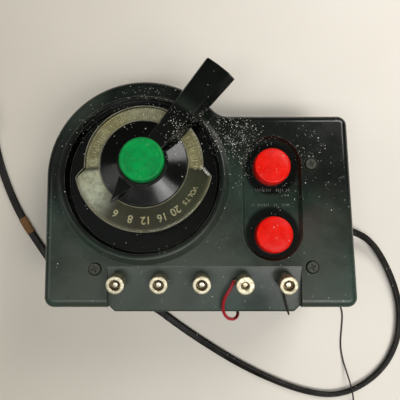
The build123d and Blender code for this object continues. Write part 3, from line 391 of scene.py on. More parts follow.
def layered(name, tint, shade, axis_scale, direction, rough, metallic):
    """Thin layers stacked along one axis: laminations or turns of wire."""
    f = Finish(name, Metallic=metallic)
    along = f.node("ShaderNodeVectorMath", operation="DOT_PRODUCT")
    f.put(along.inputs[0], f.place)
    along.inputs[1].default_value = direction
    wave = f.math("SINE", f.math("MULTIPLY", along.outputs["Value"], axis_scale))
    f.feed("Base Color", f.mix(f.band(wave, -0.6, 0.9), shade, tint))
    f.feed("Roughness", f.band(f.noise(300.0, 4.0), 0.3, 0.7, rough, rough + 0.2))
    f.feed("Normal", f.bump(wave, 0.00015, 0.8))
    return f.material


ACROSS = (0.0, math.cos(SLOPE), -math.sin(SLOPE))
MATERIALS = {
    "black_phenolic": phenolic("black_phenolic", (0.0008, 0.0011, 0.0008), (0.040, 0.050, 0.038), 0.10),
    "dial_print": dial_print("dial_print"),
    "clear_plastic": clear_plastic("clear_plastic"),
    "lamp_glass": Finish("lamp_glass", IOR=1.5, Transmission_Weight=1.0, Roughness=0.04).material,
    "green_lens": moulded("green_lens", (0.000, 0.30, 0.058), (0.004, 0.20, 0.045), 0.34, 0.03, 0.12),
    "red_plastic": moulded("red_plastic", (0.82, 0.008, 0.001), (0.70, 0.005, 0.001), 0.24, 0.03, 0.22),
    "plated_steel": metal("plated_steel", (0.62, 0.58, 0.46), (0.40, 0.34, 0.22), 0.26),
    "bare_steel": metal("bare_steel", (0.55, 0.55, 0.54), (0.38, 0.36, 0.33), 0.25),
    "sheet_steel": rough_block("sheet_steel", (0.035, 0.036, 0.036), (0.06, 0.055, 0.05), 80.0, 0.35, 0.3),
    "core_steel": layered("core_steel", (0.22, 0.21, 0.20), (0.09, 0.08, 0.075), 9000.0, ACROSS, 0.4, 0.9),
    "copper": metal("copper", (0.72, 0.36, 0.19), (0.34, 0.16, 0.08), 0.3),
    "brass": metal("brass", (0.75, 0.56, 0.24), (0.42, 0.30, 0.12), 0.28),
    "carbon": rough_block("carbon", (0.03, 0.03, 0.03), (0.07, 0.07, 0.07), 600.0, 0.6),
    "fibre_board": rough_block("fibre_board", (0.24, 0.11, 0.05), (0.15, 0.07, 0.03), 400.0, 0.6),
    "selenium": rough_block("selenium", (0.28, 0.30, 0.28), (0.18, 0.19, 0.18), 200.0, 0.4, 0.4),
    "ceramic": rough_block("ceramic", (0.72, 0.69, 0.60), (0.55, 0.50, 0.40), 200.0, 0.5),
    "black_rubber": rubber("black_rubber", (0.003, 0.003, 0.002), (0.014, 0.012, 0.009), 0.36),
    "brown_tape": woven_tape("brown_tape"),
    "red_insulation": rubber("red_insulation", (0.42, 0.012, 0.022), (0.30, 0.012, 0.018), 0.22),
    "black_insulation": rubber("black_insulation", (0.010, 0.009, 0.008), (0.030, 0.026, 0.020), 0.3),
}
WINDING = layered("enamelled_wire", (0.42, 0.17, 0.07), (0.12, 0.05, 0.025), 12000.0, ACROSS, 0.25, 0.7)
FIGURE_INK = ink("figure_ink", (0.72, 0.73, 0.64), (0.34, 0.35, 0.28))
FAINT_INK = ink("faint_ink", (0.11, 0.115, 0.10), (0.035, 0.038, 0.032))
NUT_FACE = metal("nut_face", (0.66, 0.62, 0.46), (0.40, 0.36, 0.24), 0.40, 420.0, 0.2)
# dark brown for the nuts' bores: grime and painted shade
NUT_WELL_GRIME_SHADE = metal("nut_well", (0.34, 0.26, 0.15), (0.16, 0.115, 0.06), 0.5, 900.0)
SCREW_DULL = rough_block("dull_screw", (0.050, 0.055, 0.038), (0.022, 0.026, 0.018), 700.0, 0.4, 0.4)
# pale bead colour: painted highlight on the clear ring's edges
RING_GLINT = moulded("ring_edge", (0.27, 0.265, 0.19), (0.15, 0.15, 0.095), 0.2, 0.02)
DASH_INK = ink("dash_ink", (0.98, 0.97, 0.88), (0.050, 0.036, 0.016))

for part in frame["record"]["subparts"]:
    mesh = frame["nodes"][part["node"]].data
    mesh.materials.clear()
    mesh.materials.append(MATERIALS[part["material_slot"]])
for name in ("primary_winding", "secondary_winding"):
    frame["nodes"][name].data.materials[0] = WINDING
frame["nodes"]["cover_screws"].data.materials[0] = SCREW_DULL


# ---------------------------------------------------------------- meshes
def piece(name, verts, faces, matrix, material, slot, body, sharp=35.0, replaces=()):
    """Mesh given in millimetres on a plane's own axes, made into a piece that rides on a body."""
    mesh = bpy.data.meshes.new(name)
    mesh.from_pydata([matrix @ Vector(v) * MM for v in verts], [], faces)
    mesh.validate()
    mesh.shade_smooth()
    mesh.set_sharp_from_angle(angle=math.radians(sharp))
    mesh.materials.append(material)
    made = bpy.data.objects.new(name, mesh)
    bpy.context.scene.collection.objects.link(made)
    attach(made, body)
    if replaces:
        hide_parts(*replaces)
    return made


def lathe(profile, segments, centre=(0.0, 0.0), ripple=None):
    """Turned shape from an outline of (radius, height) points; ripple(index, angle) adds to a radius."""
    verts, faces = [], []
    for index, (radius, height) in enumerate(profile):
        for step in range(segments):
            angle = 2 * math.pi * step / segments
            grown = radius + (ripple(index, angle) if ripple else 0.0)
            verts.append((centre[0] + grown * math.cos(angle), centre[1] + grown * math.sin(angle), height))
    count = len(profile)
    for index in range(count - 1):
        for step in range(segments):
            beside = (step + 1) % segments
            low, high = index * segments, (index + 1) * segments
            faces.append((low + step, low + beside, high + beside, high + step))
    return verts, faces


def capped(profile, segments, centre=(0.0, 0.0), ripple=None):
    """Turned shape whose outline starts and ends on the axis."""
    verts, faces = lathe(profile[1:-1], segments, centre, ripple)
    start, end = len(verts), len(verts) + 1
    verts += [(*centre, profile[0][1]), (*centre, profile[-1][1])]
    last = (len(profile) - 3) * segments
    for step in range(segments):
        beside = (step + 1) % segments
        faces.append((start, beside, step))
        faces.append((end, last + step, last + beside))
    return verts, faces


def ringed(profile, segments, centre=(0.0, 0.0), ripple=None):
    """Turned ring: the outline closes on itself."""
    verts, faces = lathe(profile, segments, centre, ripple)
    last = (len(profile) - 1) * segments
    for step in range(segments):
        beside = (step + 1) % segments
        faces.append((last + step, last + beside, beside, step))
    return verts, faces


# ---------------------------------------------------------------- cords
def spline(name, points):
    """NURBS curve object through given control points, in metres."""
    data = bpy.data.curves.new(name, "CURVE")
    data.dimensions = "3D"
    line = data.splines.new("NURBS")
    line.points.add(len(points) - 1)
    for point, place in zip(line.points, points):
        point.co = (*place, 1.0)
    line.order_u = 3
    line.use_endpoint_u = True
    data.resolution_u = 8
    made = bpy.data.objects.new(name, data)
    bpy.context.scene.collection.objects.link(made)
    return made


def line_points(curve):
    """Points of a curve's own smooth line, in metres."""
    bpy.context.view_layer.update()
    mesh = bpy.data.meshes.new_from_object(curve)
    found = [v.co.copy() for v in mesh.vertices]
    bpy.data.meshes.remove(mesh)
    return found


def run_length(points):
    return sum((b - a).length for a, b in zip(points, points[1:]))


def sweep(points, outline, roll, scale=lambda share: 1.0):
    """Closed tube along points: outline is its section as (side, up) points, in millimetres;
    roll(length) turns the section and scale(share of the length) sizes it."""
    verts, faces = [], []
    total, gone = run_length(points), 0.0
    for index, here in enumerate(points):
        before, after = points[max(index - 1, 0)], points[min(index + 1, len(points) - 1)]
        if index:
            gone += (here - points[index - 1]).length
        ahead = (after - before).normalized()
        side = ahead.cross(Vector((0, 0, 1))).normalized()
        up = side.cross(ahead).normalized()
        turn, size = roll(gone), scale(gone / total)
        c, s = math.cos(turn), math.sin(turn)
        for a, b in outline:
            verts.append(here + (side * (a * c - b * s) + up * (a * s + b * c)) * (size * MM))
    count = len(outline)
    for index in range(len(points) - 1):
        for step in range(count):
            beside = (step + 1) % count
            low, high = index * count, (index + 1) * count
            faces.append((low + step, low + beside, high + beside, high + step))
    faces.append(tuple(reversed(range(count))))
    faces.append(tuple(range(len(verts) - count, len(verts))))
    return verts, faces


def lobed(radius, offset, swell=0.0, steps=14):
    """Section of two-lobed cord: two circles side by side with a groove between them."""
    ring = []
    lobe = radius + swell
    groove = radius * 0.80 + swell
    for centre, start in ((offset, -math.pi / 2), (-offset, math.pi / 2)):
        for step in range(steps):
            turn = start + math.pi * (step + 0.5) / steps
            ring.append((centre + lobe * math.cos(turn), lobe * math.sin(turn)))
        ring.append((0.0, groove if centre > 0 else -groove))
    return ring


TABLE_GAP = 0.02 * MM


def rested(verts):
    """Points of a soft section, flattened where they would pass below the table."""
    return [Vector((v.x, v.y, max(v.z, TABLE_GAP))) for v in verts]


def made_mesh(name, verts, faces, material, slot, body="case", sharp=50.0):
    """Mesh whose points are already in metres in the row frame."""
    return piece(name, [v / MM for v in verts], faces, Matrix.Identity(4), material, slot, body, sharp)


CORD_R, CORD_OFFSET = 1.5, 1.3
CASE_RIGHT, CASE_FRONT_RIGHT, CASE_REAR, CASE_FRONT = 93.2, 90.8, -63.3, 51.6
CORD_EXIT_Y, CORD_EXIT_Z = -19.0, 12.0
CASE_SIDE_X = CASE_RIGHT + (CASE_FRONT_RIGHT - CASE_RIGHT) * (
    (CORD_EXIT_Y - CASE_REAR) / (CASE_FRONT - CASE_REAR))
BOOT_TIP = (15.5, -4.5, -1.5)
COIL_CENTRE = (-187.0, 58.0)
COIL_OUTER, COIL_INNER = 31.3, 25.7
COIL_STEPS = 16

route = [
    laid(CASE_SIDE_X + BOOT_TIP[0], CORD_EXIT_Y + BOOT_TIP[1], CORD_EXIT_Z + BOOT_TIP[2]),
    laid(119.0, -27.2, 8.9),
    laid(129.0, -35.0, 5.6),
    laid(137.2, -46.0, 3.3),
    laid(143.8, -58.8, 2.3),
    laid(148.8, -72.6, 2.3),
    laid(151.4, -87.0, 2.3),
    laid(150.2, -108.5, 2.3),
    laid(141.0, -128.5, 2.3),
    laid(123.5, -144.0, 2.3),
    laid(102.5, -151.5, 2.3),
    laid(79.0, -148.0, 2.3),
    laid(53.0, -138.3, 2.2),
    laid(26.5, -125.0, 1.9),
    laid(0.0, -108.3, 1.6),
    laid(-18.0, -95.8, 1.5),
    laid(-33.0, -84.2, 1.5),
    laid(-50.5, -76.2, 1.5),
    laid(-70.0, -73.0, 1.5),
    laid(-88.5, -71.3, 1.5),
    laid(-102.8, -62.0, 1.5),
    laid(-111.5, -50.5, 1.5),
    laid(-119.0, -39.5, 1.5),
    laid(-127.5, -26.5, 1.5),
    laid(-136.5, -11.0, 1.5),
    laid(-144.2, 7.0, 1.5),
    laid(-150.2, 25.0, 1.5),
    laid(-153.8, 41.0, 1.5),
]
LAYERS = (1.5, 4.6, 7.7)
# column and layer of each turn; the winding moves across late in the turn before
WINDS = ((COIL_OUTER, LAYERS[0]), (COIL_INNER, LAYERS[0]), (COIL_INNER, LAYERS[1]),
         (COIL_OUTER, LAYERS[1]), (COIL_INNER, LAYERS[2]), (COIL_OUTER, LAYERS[2]))
SHIFT_FROM, SHIFT_TO = 0.80, 0.95
RISE_FROM, RISE_TO = 0.68, 0.82


def eased(value, low, high, straight=0):
    share = min(1.0, max(0.0, (value - low) / (high - low)))
    return share if straight else share * share * (3 - 2 * share)


def wound(turns):
    """Radius and height of the coil's line after so many turns."""
    index = min(int(turns), len(WINDS) - 1)
    radius, height = WINDS[index]
    if index + 1 < len(WINDS):
        part = turns - index
        next_radius, next_height = WINDS[index + 1]
        both = next_radius != radius and next_height != height
        across = eased(part, SHIFT_FROM, SHIFT_TO)
        rise = eased(part, RISE_FROM, RISE_TO) if both else across
        radius += (next_radius - radius) * across
        height += (next_height - height) * rise
    return radius, height


COIL_TURNS = 5.47
LEAVES_FROM, LEAVES_OUT, LEAVES_DOWN = 5.25, 3.2, 1.2
# the smooth line cuts inside its control points, so they stand a little further out
bulge = 1 / (1 - (1 - math.cos(2 * math.pi / COIL_STEPS)) * 0.25)
steps = int(COIL_TURNS * COIL_STEPS)
for step in range(1, steps + 1):
    turns = step / COIL_STEPS
    radius, height = wound(turns)
    leaving = eased(turns, LEAVES_FROM, COIL_TURNS)
    x, y = polar(radius * bulge + LEAVES_OUT * leaving, 360.0 * turns, COIL_CENTRE)
    route.append(laid(x, y, height - LEAVES_DOWN * leaving))
route += [laid(-222.0, 51.0, 6.5), laid(-222.0, 43.0, 6.5)]

ROLL_KEYS = ((0, 38), (60, 35), (120, 36), (175, 40), (205, 36), (255, 15), (290, 2), (330, 0), (5000, 0))


def cord_roll(gone):
    """Twist of the flat cord at a length along it, in radians."""
    length = gone / MM
    for (low, first), (high, second) in zip(ROLL_KEYS, ROLL_KEYS[1:]):
        if length <= high:
            return math.radians(first + (second - first) * eased(length, low, high))
    return 0.0


power_line = spline("power_line", route)
power_points = line_points(power_line)
bpy.data.objects.remove(power_line)
verts, faces = sweep(power_points, lobed(CORD_R, CORD_OFFSET), cord_roll)
verts = rested(verts)
power_cord = made_mesh("power_cord_flex", verts, faces, MATERIALS["black_rubber"], "black_rubber")
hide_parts("power_cord", "cord_coil")

# ---------------------------------------------------------------- dial
WALL, LEDGE_THICK = 2.8, 3.0
PLATE_TOP, RING_TOP = 9.5, 12.6
RING_R, RING_NARROW_R, RING_BORE_R = 40.0, 34.4, 25.6
WIDE_FROM, WIDE_TO, STEP_OUT, STEP_IN = 187.0, 354.0, 3.2, 5.0


def ring_growth(angle):
    """How far the dial's outline stands outside its narrow circle at an angle of the panel."""
    degrees = math.degrees(angle)
    start = eased(degrees, WIDE_FROM - STEP_OUT, WIDE_FROM + STEP_IN, 1)
    end = 1.0 - eased(degrees, WIDE_TO - STEP_IN, WIDE_TO + STEP_OUT, 1)
    return (RING_R - RING_NARROW_R) * min(start, end)


RING_OUTLINE = [
    (RING_BORE_R, PLATE_TOP + 0.12), (RING_NARROW_R, PLATE_TOP + 0.12), (RING_NARROW_R, 11.5),
    (RING_NARROW_R - 0.12, 12.05), (RING_NARROW_R - 0.45, 12.42), (RING_NARROW_R - 0.9, RING_TOP),
    (RING_BORE_R + 0.7, RING_TOP), (RING_BORE_R + 0.2, 12.4), (RING_BORE_R, 12.0),
]
piece("dial_ring_clear",
      *ringed(RING_OUTLINE, 720, ripple=lambda index, angle: ring_growth(angle) if 1 <= index <= 5 else 0.0),
      DIAL_PLANE, MATERIALS["clear_plastic"], "clear_plastic", "case", replaces=["dial_ring"])
# painted highlights on the clear ring's edges, made as pale beads: name, radius and height of each bead
GLINT_BEAD_R = 0.28
GLINT_BEADS = (("ring_edge_outer", RING_NARROW_R - 0.22, 12.2), ("ring_edge_bore", RING_BORE_R + 0.30, 12.32))
for name, base, low in GLINT_BEADS:
    bead = [(base + GLINT_BEAD_R * math.cos(t), low + GLINT_BEAD_R * math.sin(t)) for t in
            (2 * math.pi * step / 8 for step in range(8))]
    grown = ring_growth if name == "ring_edge_outer" else (lambda angle: 0.0)
    piece(name, *ringed(bead, 720, ripple=lambda index, angle, grown=grown: grown(angle)),
          DIAL_PLANE, RING_GLINT, "clear_plastic", "case", sharp=80.0)


MARK_THICK = 0.05


def flat_marks(name, polygons, height, plane_matrix, material):
    """Thin printed marks on the case: each polygon becomes a closed tile on the plane."""
    verts, faces = [], []
    for polygon in polygons:
        start, count = len(verts), len(polygon)
        verts += [(x, y, height) for x, y in polygon] + [(x, y, height + MARK_THICK) for x, y in polygon]
        faces.append(tuple(start + i for i in reversed(range(count))))
        faces.append(tuple(start + count + i for i in range(count)))
        for i in range(count):
            j = (i + 1) % count
            faces.append((start + i, start + j, start + count + j, start + count + i))
    return piece(name, verts, faces, plane_matrix, material, "dial_print", "case", sharp=20.0)


def tile(centre, along, length, width):
    """Rectangle round a centre, its long side at an angle."""
    c, s = math.cos(math.radians(along)), math.sin(math.radians(along))
    return [(centre[0] + a * c - b * s, centre[1] + a * s + b * c)
            for a, b in ((-length / 2, -width / 2), (length / 2, -width / 2),
                         (length / 2, width / 2), (-length / 2, width / 2))]


def figures(name, text, size, place, turn, height, plane_matrix, material):
    """Numerals or letters printed on the case, centred on a place of the plane and turned about it."""
    data = bpy.data.curves.new(name, "FONT")
    data.body = text
    data.size = size
    data.align_x = "CENTER"
    data.align_y = "CENTER"
    data.extrude = MARK_THICK / 2
    data.offset = 0.016 * size
    shape = bpy.data.objects.new(name, data)
    bpy.context.scene.collection.objects.link(shape)
    bpy.context.view_layer.update()
    flat = bpy.data.meshes.new_from_object(shape)
    bpy.data.objects.remove(shape)
    middle = Matrix.Translation((*place, height + MARK_THICK / 2))
    matrix = middle @ Matrix.Rotation(math.radians(turn), 4, "Z")
    verts = [matrix @ v.co for v in flat.vertices]
    faces = [tuple(face.vertices) for face in flat.polygons]
    bpy.data.meshes.remove(flat)
    return piece(name, verts, faces, plane_matrix, material, "dial_print", "case", sharp=20.0)


MARK_R, MARK_H = 32.9, PLATE_TOP + 0.02
FIGURE_SIZE, UNIT_SIZE, UNIT_FROM, UNIT_STEP = 6.0, 3.9, 334.0, 4.5
for text, angle in (("6", 241.0), ("8", 257.0), ("12", 272.6), ("16", 289.4), ("20", 304.0)):
    figures(f"dial_figure_{text}", text, FIGURE_SIZE, polar(MARK_R, angle), angle - 90.0,
            MARK_H, DIAL_PLANE, FIGURE_INK)
for index, letter in enumerate("VOLTS"):
    angle = UNIT_FROM - UNIT_STEP * index
    figures(f"dial_unit_{index}", letter, UNIT_SIZE, polar(MARK_R, angle), angle - 90.0,
            MARK_H, DIAL_PLANE, FIGURE_INK)
chance = random.Random(7)
dashes = []
BAND_FROM, BAND_TO = -6.0, 184.0
BARE_FROM, BARE_TO = 34.0, 66.0      # no inner dashes under the lever at rest
# rows of dashes: radius, step in degrees, length, width and share left out
for radius, step, length, width, missing in (
        (MARK_R, 2.4, 0.75, 0.55, 0.0), (30.0, 3.1, 2.3, 0.42, 0.18), (28.2, 2.7, 1.2, 0.42, 0.18)):
    angle = BAND_FROM
    while angle < BAND_TO:
        if missing and (BARE_FROM < angle < BARE_TO or chance.random() < missing):
            angle += step
            continue
        dashes.append(tile(polar(radius, angle), angle, length * chance.uniform(0.8, 1.1), width))
        angle += step * chance.uniform(0.85, 1.15)
flat_marks("dial_dashes", dashes, MARK_H, DIAL_PLANE, DASH_INK)
# two rows of worn strokes between the buttons: v of the row, and its ends
TRACK_FLOOR, STROKE_STEP, STROKE_LENGTH, STROKE_WIDTH = -3.2, 1.25, 1.7, 0.36
between = []
for v, left, right in ((6.5, 34.0, 54.5), (-2.7, 31.5, 55.5)):
    u = left
    while u < right:
        if chance.random() > 0.15:
            between.append(tile((u, v), 90.0 + chance.uniform(-12, 12), STROKE_LENGTH, STROKE_WIDTH))
        u += STROKE_STEP
flat_marks("button_marks", between, TRACK_FLOOR, PANEL, FAINT_INK)
POST_FIGURE_SIZE, POST_FIGURE_U, POST_FIGURE_V = 3.0, 1.0, -21.2
for index, u in enumerate(POSTS, 1):
    figures(f"post_figure_{index}", str(index), POST_FIGURE_SIZE, (u + POST_FIGURE_U, POST_FIGURE_V),
            0.0, 0.0, LEDGE, FAINT_INK)

# ---------------------------------------------------------------- lens cap and buttons
LENS_R, LENS_H, LENS_TOP = 12.6, 18.2, 24.0
LENS_OUTLINE = [
    (0.0, 22.2), (9.5, 22.2), (9.5, LENS_H), (LENS_R, LENS_H), (LENS_R, 22.2), (12.5, 22.9), (12.2, 23.4),
    (11.7, 23.72), (11.1, 23.84), (10.9, 23.72), (10.6, 23.66), (9.4, 23.78), (7.4, 23.88), (7.1, 23.80),
    (6.8, 23.88), (4.0, 23.96), (0.0, LENS_TOP),
]
piece("lens_dome", *capped(LENS_OUTLINE, 160), LEVER_PLANE, MATERIALS["green_lens"], "green_lens", "lever",
      replaces=["lens_cap"])
CAP_FLANGE = 1.6
CAP_LOW = TRACK_FLOOR - WALL - CAP_FLANGE
BUTTON_OUTLINE = [
    (0.0, CAP_LOW - 5), (2.4, CAP_LOW - 5), (2.4, CAP_LOW + 9), (8.0, CAP_LOW + 9), (8.0, CAP_LOW),
    (12.6, CAP_LOW), (12.6, CAP_LOW + CAP_FLANGE), (10.9, CAP_LOW + CAP_FLANGE), (10.9, 2.9),
    (10.8, 3.6), (10.5, 4.15), (10.05, 4.5),
    (9.6, 4.62), (9.4, 4.48), (9.15, 4.50), (8.0, 4.68), (6.0, 4.85), (3.0, 4.97), (0.0, 5.0),
]
for name, centre in BUTTONS.items():
    piece(f"{name}_button_dome", *capped(BUTTON_OUTLINE, 128, centre), PANEL, MATERIALS["red_plastic"],
          "red_plastic", f"{name}_key", replaces=[f"{name}_button"])

# return springs under the buttons, each with a mesh of its own
SPRING_LOW, SPRING_HIGH, SPRING_R, SPRING_WIRE, SPRING_TURNS = -21.6, 1.0, 6.0, 0.8, 5
SPRING_STEPS = 40 * SPRING_TURNS
WIRE_OUTLINE = [polar(SPRING_WIRE / 2, 30 * step) for step in range(12)]
for name, centre in BUTTONS.items():
    winds = []
    for step in range(SPRING_STEPS + 1):
        share = step / SPRING_STEPS
        u, v = polar(SPRING_R, 360.0 * SPRING_TURNS * share, centre)
        winds.append(PANEL @ Vector((u, v, SPRING_LOW + (SPRING_HIGH - SPRING_LOW) * share)) * MM)
    verts, faces = sweep(winds, WIRE_OUTLINE, lambda gone: 0.0)
    coil = made_mesh(f"{name}_return_spring", verts, faces, MATERIALS["bare_steel"], "bare_steel")
    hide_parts(f"{name}_spring")
    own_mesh(coil)

# ---------------------------------------------------------------- terminals
NUT_H, NUT_BORE_R, NUT_BORE_FROM, STUD_RISE = 7.0, 3.1, 3.6, 6.6
FLAT_NUT = 3
KNURLS = 44
for index, u in enumerate(POSTS):
    low = STACK_H + (EYE_WIRE if index in EYE_POSTS else 0.0) + WASHER_H
    bored = index != FLAT_NUT
    well_r, well_h = (NUT_BORE_R, NUT_BORE_FROM) if bored else (STUD_R + 0.35, NUT_H - 0.5)
    outline = [
        (STUD_R + 0.05, low), (4.6, low), (5.1, low + 0.35), (5.17, low + 0.9), (5.17, low + 2.4),
        (5.17, low + 4.0), (5.17, low + 5.5), (5.1, low + 5.95), (4.95, low + 6.35), (5.25, low + 6.45),
        (5.22, low + 6.75), (4.95, low + 6.95), (4.5, low + NUT_H), (well_r + 0.3, low + NUT_H),
        (well_r, low + NUT_H - 0.25),
        (well_r, low + well_h), (STUD_R + 0.05, low + well_h),
    ]
    piece(f"knurled_nut_{index + 1}",
          *ringed(outline, KNURLS * 4, (u, POST_V),
                  lambda row, angle: 0.2 * math.cos(KNURLS * angle) if 3 <= row <= 6 else 0.0),
          LEDGE, NUT_FACE, "plated_steel", f"post_nut_{index + 1}", replaces=[f"thumb_nut_{index + 1}"])
    # thin dark lining inside each nut's bore: grime and painted shade in the hollow
    shade_liner = [
        (well_r - 0.02, low + well_h + 0.02), (well_r - 0.02, low + NUT_H - 0.55),
        (well_r - 0.10, low + NUT_H - 0.55), (well_r - 0.10, low + well_h + 0.10),
        (STUD_R + 0.08, low + well_h + 0.10), (STUD_R + 0.08, low + well_h + 0.02),
    ]
    piece(f"nut_well_{index + 1}", *ringed(shade_liner, 64, (u, POST_V)), LEDGE, NUT_WELL_GRIME_SHADE, "plated_steel",
          f"post_nut_{index + 1}")
STUD_LOW, STUD_TOP = -LEDGE_THICK - WALL - 9.0, STACK_H + STUD_RISE
THREAD_PITCH, THREAD_DEPTH, STUD_SIDES = 0.8, 0.28, 32
verts, faces = [], []
for u in POSTS:
    rows = [(0.0, STUD_LOW), (STUD_R, STUD_LOW), (STUD_R, STACK_H)]
    level = STACK_H + 0.1
    while level < STUD_TOP - 0.5:
        rows.append((STUD_R, level))
        level += THREAD_PITCH / 6
    rows += [(STUD_R - 0.30, STUD_TOP - 0.35), (STUD_R - 0.62, STUD_TOP - 0.08),
             (STUD_R - 1.0, STUD_TOP), (0.0, STUD_TOP)]
    first, last = 3, len(rows) - 5

    def thread(row, angle, rows=rows, first=first, last=last):
        if not first <= row <= last:
            return 0.0
        turn = (rows[row][1] / THREAD_PITCH - angle / (2 * math.pi)) % 1.0
        return -THREAD_DEPTH * (1 - abs(2 * turn - 1))

    made_verts, made_faces = capped(rows, STUD_SIDES, (u, POST_V), thread)
    base = len(verts)
    verts += made_verts
    faces += [tuple(base + corner for corner in face) for face in made_faces]
piece("threaded_studs", verts, faces, LEDGE, MATERIALS["plated_steel"], "plated_steel", "case",
      replaces=["terminal_studs"])

# ---------------------------------------------------------------- strain relief
hole = laid(CASE_SIDE_X, CORD_EXIT_Y, CORD_EXIT_Z)
tip = hole + Vector(BOOT_TIP) * MM
boot_line = [hole + Vector((x, 0, 0)) * MM for x in (-5.0, -4.0, -3.0, -2.0, -1.0, 0.0)]
BOOT_STEPS = 84
for step in range(1, BOOT_STEPS + 1):
    share = step / BOOT_STEPS
    straight = hole + Vector((BOOT_TIP[0] * share, 0, 0)) * MM
    bent = hole.lerp(tip, share)
    boot_line.append(straight.lerp(bent, eased(share, 0.0, 0.45)))
boot_length = run_length(boot_line)
BOOT_PLUG_R, BOOT_FLANGE_R, BOOT_ROOT_R, BOOT_TIP_R = 5.15, 7.0, 5.2, 3.7


def boot_radius(share):
    """Radius of the boot: plug in the hole, flange against the case, ribs, smooth tip."""
    out = share * boot_length / MM - 5.0
    if out < 0.2:
        return BOOT_PLUG_R
    if out < 2.2:
        return BOOT_FLANGE_R - 0.35 * eased(out, 1.2, 2.2) - 0.3 * (1 - eased(out, 0.2, 0.5))
    body = BOOT_ROOT_R + (BOOT_TIP_R - BOOT_ROOT_R) * min(1.0, (out - 2.2) / 14.0)
    rib = 0.5 * (1 + math.cos(2 * math.pi * (out - 2.2) / 2.4))
    groove = 0.55 * (1 - rib) if out < 13.2 else 0.0
    return body - groove - 0.25 * eased(out, 15.4, 16.2)


round_section = [(math.cos(2 * math.pi * i / 40), math.sin(2 * math.pi * i / 40)) for i in range(40)]
verts, faces = sweep(boot_line, round_section, lambda gone: 0.0, boot_radius)
boot = made_mesh("strain_relief_boot", verts, faces, MATERIALS["black_rubber"], "black_rubber", sharp=40.0)
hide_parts("strain_relief")

# ---------------------------------------------------------------- cloth tape round the cord
TAPE_AT, TAPE_W, TAPE_SWELL = laid(-131.5, -22.0, 1.5), 9.0, 0.32
nearest = min(range(len(power_points)), key=lambda i: (power_points[i] - TAPE_AT).length)
first = nearest
while (power_points[first] - power_points[nearest]).length < TAPE_W / 2 * MM:
    first -= 1
last = nearest
while (power_points[last] - power_points[nearest]).length < TAPE_W / 2 * MM:
    last += 1
tape_line = power_points[first:last + 1]
verts, faces = sweep(tape_line, lobed(CORD_R, CORD_OFFSET, TAPE_SWELL), lambda gone: 0.0)
tape = made_mesh("cloth_tape", rested(verts), faces, MATERIALS["brown_tape"], "brown_tape")
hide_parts("tape_band")

# ---------------------------------------------------------------- eye wires
def eye_tail(post, lead_angle, tail):
    """End of the straight tail of a wire eye round a stud, in metres."""
    centre = (POSTS[post], POST_V)
    start = polar(STUD_R + EYE_WIRE / 2 + 0.05, lead_angle, centre)
    tip = polar(tail, lead_angle + 90, start)
    return LEDGE @ Vector((*tip, STACK_H + EYE_WIRE / 2)) * MM


# red wire, bent down over the ledge
red_start = eye_tail(3, 110.0, 5.2)
red_route = [
    red_start,
    laid(17.6, -51.6, 78.7),
    laid(13.9, -57.6, 78.0),
    laid(13.2, -64.2, 75.6),
    laid(15.6, -70.4, 71.2),
    laid(20.0, -73.4, 66.2),
    laid(23.4, -73.0, 61.0),
    laid(24.2, -71.4, 55.0),
    laid(23.2, -71.0, 48.6),
]
# black wire, down to the table and away to a small coil
black_start = eye_tail(4, 190.0, 5.2)
BLACK_COIL = (124.6, -172.0)
BLACK_COIL_R, BLACK_LAY = 5.45, 0.55
black_route = [
    black_start,
    laid(50.0, -58.3, 75.9),
    laid(51.6, -63.8, 75.0),
    laid(53.0, -68.4, 73.2),
    laid(53.9, -69.0, 66.6),
    laid(54.4, -69.2, 54.0),
    laid(55.2, -70.0, 37.0),
    laid(56.8, -71.8, 19.3),
    laid(60.6, -73.6, 7.6),
    laid(69.0, -74.9, 1.9),
    laid(82.5, -75.0, BLACK_LAY),
    laid(95.0, -74.9, BLACK_LAY),
    laid(104.6, -78.0, BLACK_LAY),
    laid(108.8, -87.5, BLACK_LAY),
    laid(107.8, -100.5, BLACK_LAY),
    laid(107.0, -113.5, BLACK_LAY),
    laid(109.0, -124.5, 0.9),
    laid(111.2, -132.5, 3.2),
    laid(113.2, -140.5, 6.6),
    laid(114.9, -148.5, 7.4),
    laid(116.3, -156.5, 4.6),
    laid(117.9, -163.5, 1.4),
]
BLACK_TURNS, BLACK_STEPS = 3, 14
for step in range(BLACK_TURNS * BLACK_STEPS + 1):
    turns = step / BLACK_STEPS
    x, y = polar(BLACK_COIL_R * 1.025, 160.0 + 360.0 * turns, BLACK_COIL)
    black_route.append(laid(x, y, BLACK_LAY + 1.1 * turns * (1 - 0.3 / BLACK_TURNS)))


def round_cord(name, points, diameter, material, nodes):
    """Round wire: the curve itself, with a bevel."""
    made = spline(name, points)
    length = run_length(line_points(made))
    made.data.bevel_depth = diameter / 2 * MM
    made.data.bevel_resolution = 4
    made.data.use_fill_caps = True
    made.data.materials.append(material)
    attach(made, "case")
    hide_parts(*nodes)
    return made, length


RED_D, BLACK_D = 2.0, 1.1
red_lead, red_length = round_cord(
    "red_lead_wire", red_route, RED_D, MATERIALS["red_insulation"], ["red_lead"])
black_lead, black_length = round_cord(
    "black_lead_wire", black_route, BLACK_D, MATERIALS["black_insulation"],
    ["black_lead", "black_coil"])

# ---------------------------------------------------------------- room
floor_mesh = bpy.data.meshes.new("floor")
FLOOR = 2.5                          # half its side, in metres
floor_mesh.from_pydata([(-FLOOR, -FLOOR, 0), (FLOOR, -FLOOR, 0), (FLOOR, FLOOR, 0), (-FLOOR, FLOOR, 0)],
                       [], [(0, 1, 2, 3)])
floor = bpy.data.objects.new("floor", floor_mesh)
bpy.context.scene.collection.objects.link(floor)
paper = Finish("pale_floor", Roughness=0.8)
grain = paper.band(paper.noise(9.0, 4.0), 0.3, 0.7)
